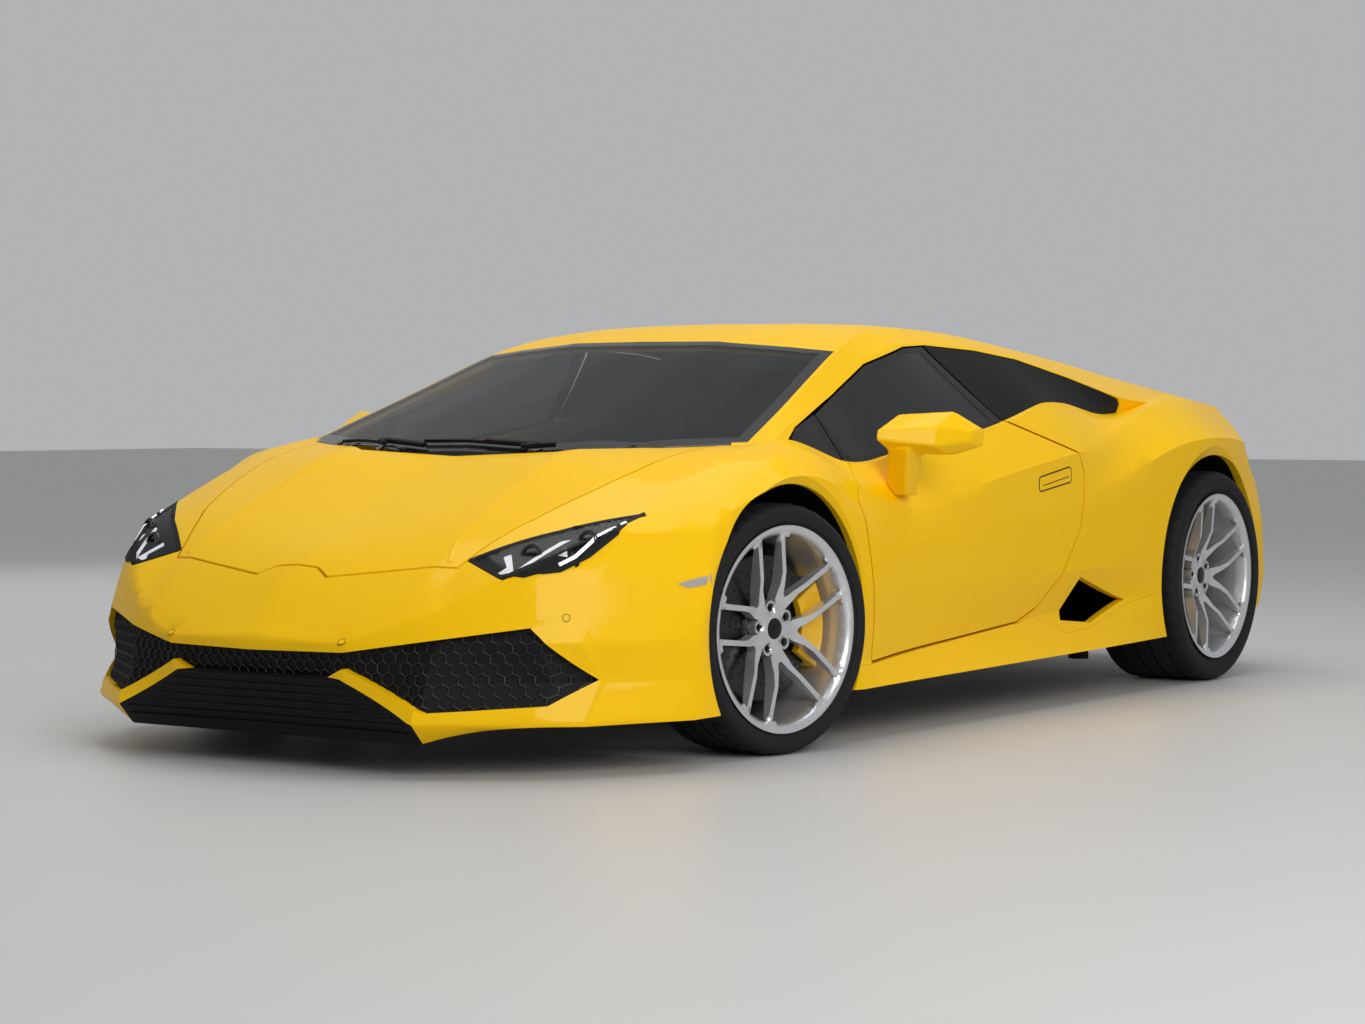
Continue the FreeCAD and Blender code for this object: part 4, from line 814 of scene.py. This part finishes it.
# Tail details: a blank recess for the number plate in a raised surround, and six diffuser fins, all moulded
# in black.
PLATE = ((268, 555), (255, 425), (-255, 425), (-268, 555))
PLATE_FRAME = ((272, 559), (258, 421), (-258, 421), (-272, 559), (272, 559))
FIN = ((-2960, 176), (-3376, 176), (-3392, 196), (-3396, 262), (-3300, 246), (-3100, 205))
FIN_PLACES, FIN_HALF = (-330, -198, -66, 66, 198, 330), 4
rear_tree = surface("rear_bumper", "rear_quarters", "rear_diffuser", "rear_grille")
shape = bmesh.new()
patch(shape, rear_tree, [spot(-3300, y, z) for y, z in PLATE], AHEAD, lift=5, thickness=6, step=25)
plate_edge = laid(rear_tree, [spot(-3300, y, z) for y, z in PLATE_FRAME], AHEAD)[:-1]
strip(shape, plate_edge, width=8, height=6, closed=True)
shown("plate_recess", closed_mesh(shape), "body", black_moulding)


def prism(shape, profile, y0, y1):
    """Adds a solid drawn from the side in (x, z) and carried across from y0 to y1; sizes in millimetres."""
    near = [shape.verts.new(spot(x, y0, z)) for x, z in profile]
    far = [shape.verts.new(spot(x, y1, z)) for x, z in profile]
    shape.faces.new(near)
    shape.faces.new(far[::-1])
    for i in range(len(profile)):
        j = (i + 1) % len(profile)
        shape.faces.new((near[j], near[i], far[i], far[j]))


shape = bmesh.new()
for y in FIN_PLACES:
    prism(shape, FIN, y - FIN_HALF, y + FIN_HALF)
shown("diffuser_fins", eased(closed_mesh(shape), 1.5, 2), "body", black_moulding)

# Seats: foam pads under stretched leather on a moulded shell, black in the middle and yellow on the wings
# that hold the shoulders. Each pad is swollen as cloth, then piped in yellow along its seams.
# The grain breaks the highlights on both leathers into a soft sheen
black_leather = finish("grained_black_leather", "#1A1A1C", ("#151517", "#212124"), 2, 0.4, 0.3,
                       (0.42, 0.6), Roughness=0.5)
yellow_leather = finish("grained_yellow_leather", "#D9A800", ("#CF9F00", "#E0B108"), 2, 0.4, 0.3,
                        (0.42, 0.6), Roughness=0.5)
SEAT_Y = 430
PAD_VOXEL_MM, PAD_PRESSURE, SWELL_FRAMES, PAD_FILL = 6, 4.0, 20, 0.8
SQUAB = ((-872, 262), (-868, 318), (-905, 334), (-1312, 292), (-1330, 262))
SQUAB_WING = ((-864, 258), (-862, 326), (-908, 346), (-1285, 322), (-1300, 258))
BACKREST = ((-1322, 318), (-1402, 520), (-1512, 806), (-1566, 800), (-1402, 300))
BACKREST_WING = ((-1296, 330), (-1360, 520), (-1474, 772), (-1560, 790), (-1404, 300))
HEADREST = ((-1534, 838), (-1574, 978), (-1612, 980), (-1606, 838))
SHELL_BACK = ((-1408, 240), (-1468, 238), (-1630, 940), (-1622, 996), (-1600, 996), (-1412, 296))
SHELL_BASE = ((-856, 238), (-856, 258), (-1336, 258), (-1410, 292), (-1410, 238))
SHELL_FOOT = ((-885, 176), (-885, 236), (-1395, 236), (-1395, 176))
PIPING = (((-1308, 330), (-1384, 520), (-1486, 786)), ((-880, 344), (-910, 350), (-1296, 316)))


def stuffed(profile, y0, y1, cap_mm=12):
    """A pad: a leather cover remeshed from a prism, swollen by pressure as cloth, and held to a cap."""
    shape = bmesh.new()
    prism(shape, profile, y0, y1)
    cover = holding(closed_mesh(shape))
    even = cover.modifiers.new("even", "REMESH")
    even.mode, even.voxel_size = "VOXEL", PAD_VOXEL_MM / 1000
    start = settled(cover)
    cover = holding(start.copy())
    cloth = cover.modifiers.new("swell", "CLOTH")
    cloth.settings.use_pressure = True
    cloth.settings.uniform_pressure_force = PAD_PRESSURE
    cloth.settings.effector_weights.gravity = 0.0
    for step in range(1, SWELL_FRAMES + 1):
        scene.frame_set(step)
    blown = applied(cover)
    cover.modifiers.clear()
    for vert, rest, swollen in zip(cover.data.vertices, start.vertices, blown.vertices):
        move = swollen.co - rest.co
        vert.co = rest.co + move * min(1.0, cap_mm / 1000 / max(move.length, 1e-9))
    scene.frame_set(1)
    soften = cover.modifiers.new("soften", "SMOOTH")
    soften.iterations, soften.factor = 6, 0.5
    return softened(settled(cover))


pads = {
    "squab": (black_leather, [stuffed(SQUAB, 264, 596)]),
    "back_pad": (black_leather, [stuffed(BACKREST, 264, 596)]),
    "headrest": (black_leather, [stuffed(HEADREST, 345, 515, 8)]),
    "squab_wings": (black_leather, [stuffed(SQUAB_WING, 192, 256, 8)]),
    "back_wings": (yellow_leather, [stuffed(BACKREST_WING, 196, 256, 8)]),
}
for name, (leather, meshes) in pads.items():
    if "wings" in name:
        twin = mirrored(meshes[0])
        twin.transform(Matrix.Translation((0, 2 * SEAT_Y / 1000, 0)))
        meshes.append(twin)
    pad = joined(*meshes)
    for side, mesh in (("left", pad), ("right", mirrored(pad))):
        piece = shown(f"seat_{name}_{side}", softened(mesh), "body", leather)
        if name == "back_pad":
            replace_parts(piece, "seats")
shape = bmesh.new()
prism(shape, SHELL_BACK, 196, 664)
prism(shape, SHELL_BASE, 186, 674)
for y in (255, 575):
    prism(shape, SHELL_FOOT, y, y + 28)
body_pair("seat_shells", smooth(eased(closed_mesh(shape), 8), 35), black_moulding)
shape = bmesh.new()
for y in (260, 600):
    for line in PIPING:
        points = [spot(x, y, z) for x, z in line]
        facing = (points[-1] - points[0]).cross(LEFT_OUT).normalized()
        facing = -facing if facing.z < 0 else facing
        seam = [p for a, b in zip(points, points[1:]) for p in (a, a.lerp(b, 0.5))] + [points[-1]]
        strip(shape, [(p, facing) for p in seam], width=5, height=4, sink=14)
body_pair("seat_piping", closed_mesh(shape), yellow_leather)

# Cabin: a leather-covered dashboard with a hood over the dials, a round steering wheel with three spokes,
# and door linings of moulded foam and leather with an armrest.
DIAL_HOOD = ((-470, 772), (-640, 768), (-662, 806), (-610, 822), (-520, 806))
CENTRE_STACK = ((-602, 640), (-648, 700), (-612, 756), (-590, 740), (-586, 660))
STEERING_CENTRE, STEERING_AXIS = (-760, 370, 690), Vector((-0.92197, 0, 0.38723))
GRIP_RADIUS, GRIP = 175, 14.5
BOSS = [(0.5, 9), (34, 8), (50, 2), (52, -10), (46, -29), (0.5, -29)]
SPOKE_TURNS, SPOKE_ENDS = (0, 180, 270), ((40, 20), (166, 13))  # the ends as (radius, half width)
LINING = ((-462, 728), (-402, 656), (-442, 488), (-470, 336), (-470, 242), (-1310, 300), (-1412, 334),
          (-1508, 405), (-1622, 538), (-1650, 640), (-1662, 700), (-1640, 734), (-1345, 822), (-950, 775),
          (-623, 738))
ARMREST = ((-760, 560), (-1000, 575), (-1330, 610))
dress(black_leather, "dashboard", "centre_console", "steering_column")
shape = bmesh.new()
prism(shape, DIAL_HOOD, 240, 500)
prism(shape, CENTRE_STACK, -110, 110)
hood = smooth(eased(closed_mesh(shape), 12, 4), 40)
shown("dial_hood", hood, "body", black_leather)
shape = bmesh.new()
turns = [math.pi * k / 6 for k in range(12)]
turned(shape, [(GRIP_RADIUS + GRIP * math.cos(a), GRIP * math.sin(a)) for a in turns], 72)
turned(shape, BOSS, 40)
for turn in SPOKE_TURNS:
    spin = Matrix.Rotation(math.radians(-turn), 3, "Y")
    ends = []
    for r, half in SPOKE_ENDS:
        section = ((-9, -half), (1, -half), (1, half), (-9, half))
        ends.append([shape.verts.new(spin @ (Vector((r, w, v)) / 1000)) for w, v in section])
    for k in range(4):
        shape.faces.new((ends[0][k], ends[0][(k + 1) % 4], ends[1][(k + 1) % 4], ends[1][k]))
    shape.faces.new(ends[0][::-1])
    shape.faces.new(ends[1])
steering = smooth(closed_mesh(shape), 35)
tilt = Matrix((LEFT_OUT, STEERING_AXIS, LEFT_OUT.cross(STEERING_AXIS))).transposed().to_4x4()
steering.transform(Matrix.Translation(spot(*STEERING_CENTRE)) @ tilt)
wheel_piece = shown("steering_wheel_trim", steering, "steering_wheel", black_leather)
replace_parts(wheel_piece, "steering_wheel")
shape = bmesh.new()
lining_outline = [spot(x, 700, z) for x, z in LINING]
patch(shape, door_tree, lining_outline, LEFT_OUT, lift=3, thickness=5, step=60)
arm_line = laid(door_tree, [spot(x, 700, z) for x, z in ARMREST], LEFT_OUT)
strip(shape, arm_line, width=66, height=34)
door_pair("door_lining", smooth(closed_mesh(shape), 35), black_leather)

# The room: a pale floor under a soft sky of light, with one large lamp above and two at the sides. The sky
# that the camera, glossy metal and glass see is a plain grey of its own.
FLOOR_HALF = 40
SKY_LIGHT, SKY_SEEN = ("#EDEEF0", 0.42), ("#B9BBBD", 0.9)
# name, place, diameter and power in watts
LAMPS = (("key", (4.5, 6.5, 3.6), 4.5, 260), ("top", (0.0, 0.0, 6.0), 6.0, 180),
         ("fill", (-3.0, -7.0, 4.0), 4.0, 80))
ground = bpy.data.meshes.new("floor")
corners = [(-1, -1), (1, -1), (1, 1), (-1, 1)]
ground.from_pydata([(x * FLOOR_HALF, y * FLOOR_HALF, 0) for x, y in corners], [], [(0, 1, 2, 3)])
floor = bpy.data.objects.new("floor", ground)
scene.collection.objects.link(floor)
pale_floor = bpy.data.materials.new("pale_floor")
pale_floor.use_nodes = True
floor_shader = pale_floor.node_tree.nodes["Principled BSDF"]
floor_shader.inputs["Base Color"].default_value = linear("#C9C9C8")
floor_shader.inputs["Roughness"].default_value = 0.45
ground.materials.append(pale_floor)

scene.view_settings.view_transform = "Standard"
room = bpy.data.worlds.new("soft_room")
scene.world = room
room.use_nodes = True
tree = room.node_tree
rays = put(tree, "ShaderNodeLightPath").outputs
greatest = {"operation": "MAXIMUM"}
clear_rays = put(tree, MATHS, greatest, i0=rays["Is Glossy Ray"], i1=rays["Is Transmission Ray"])
direct = put(tree, MATHS, greatest, i0=rays["Is Camera Ray"], i1=clear_rays)
light_room = put(tree, "ShaderNodeBackground", Color=linear(SKY_LIGHT[0]), Strength=SKY_LIGHT[1])
seen_room = put(tree, "ShaderNodeBackground", Color=linear(SKY_SEEN[0]), Strength=SKY_SEEN[1])
either = put(tree, "ShaderNodeMixShader", i0=direct, i1=light_room, i2=seen_room)
tree.links.new(either.outputs[0], tree.nodes["World Output"].inputs[0])
for name, place, size, power in LAMPS:
    light = bpy.data.lights.new(name, "AREA")
    light.shape = "DISK"
    light.size = size
    light.energy = power
    lamp = bpy.data.objects.new(name, light)
    lamp.location = place
    lamp.rotation_euler = (Vector((0, 0, 0.5)) - Vector(place)).to_track_quat("-Z", "Y").to_euler()
    lamp.visible_glossy = name != "fill"
    scene.collection.objects.link(lamp)

# The camera stands 6.7 m ahead of the front axle and 5.2 m to the car's left, 0.91 m above the floor, and
# looks back along its side through a long lens, as in the photo.
CAMERA_PLACE, CAMERA_YAW, CAMERA_PITCH = (7.9088, 5.1919, 0.9094), 214.31, -2.0
eye = bpy.data.cameras.new("photo_view")
eye.lens = 80.73
eye.sensor_width = 36.0
camera = bpy.data.objects.new("photo_view", eye)
camera.location = CAMERA_PLACE
yaw, pitch = math.radians(CAMERA_YAW), math.radians(CAMERA_PITCH)
look = Vector((math.cos(pitch) * math.cos(yaw), math.cos(pitch) * math.sin(yaw), math.sin(pitch)))
camera.rotation_euler = look.to_track_quat("-Z", "Y").to_euler()
scene.collection.objects.link(camera)
scene.camera = camera
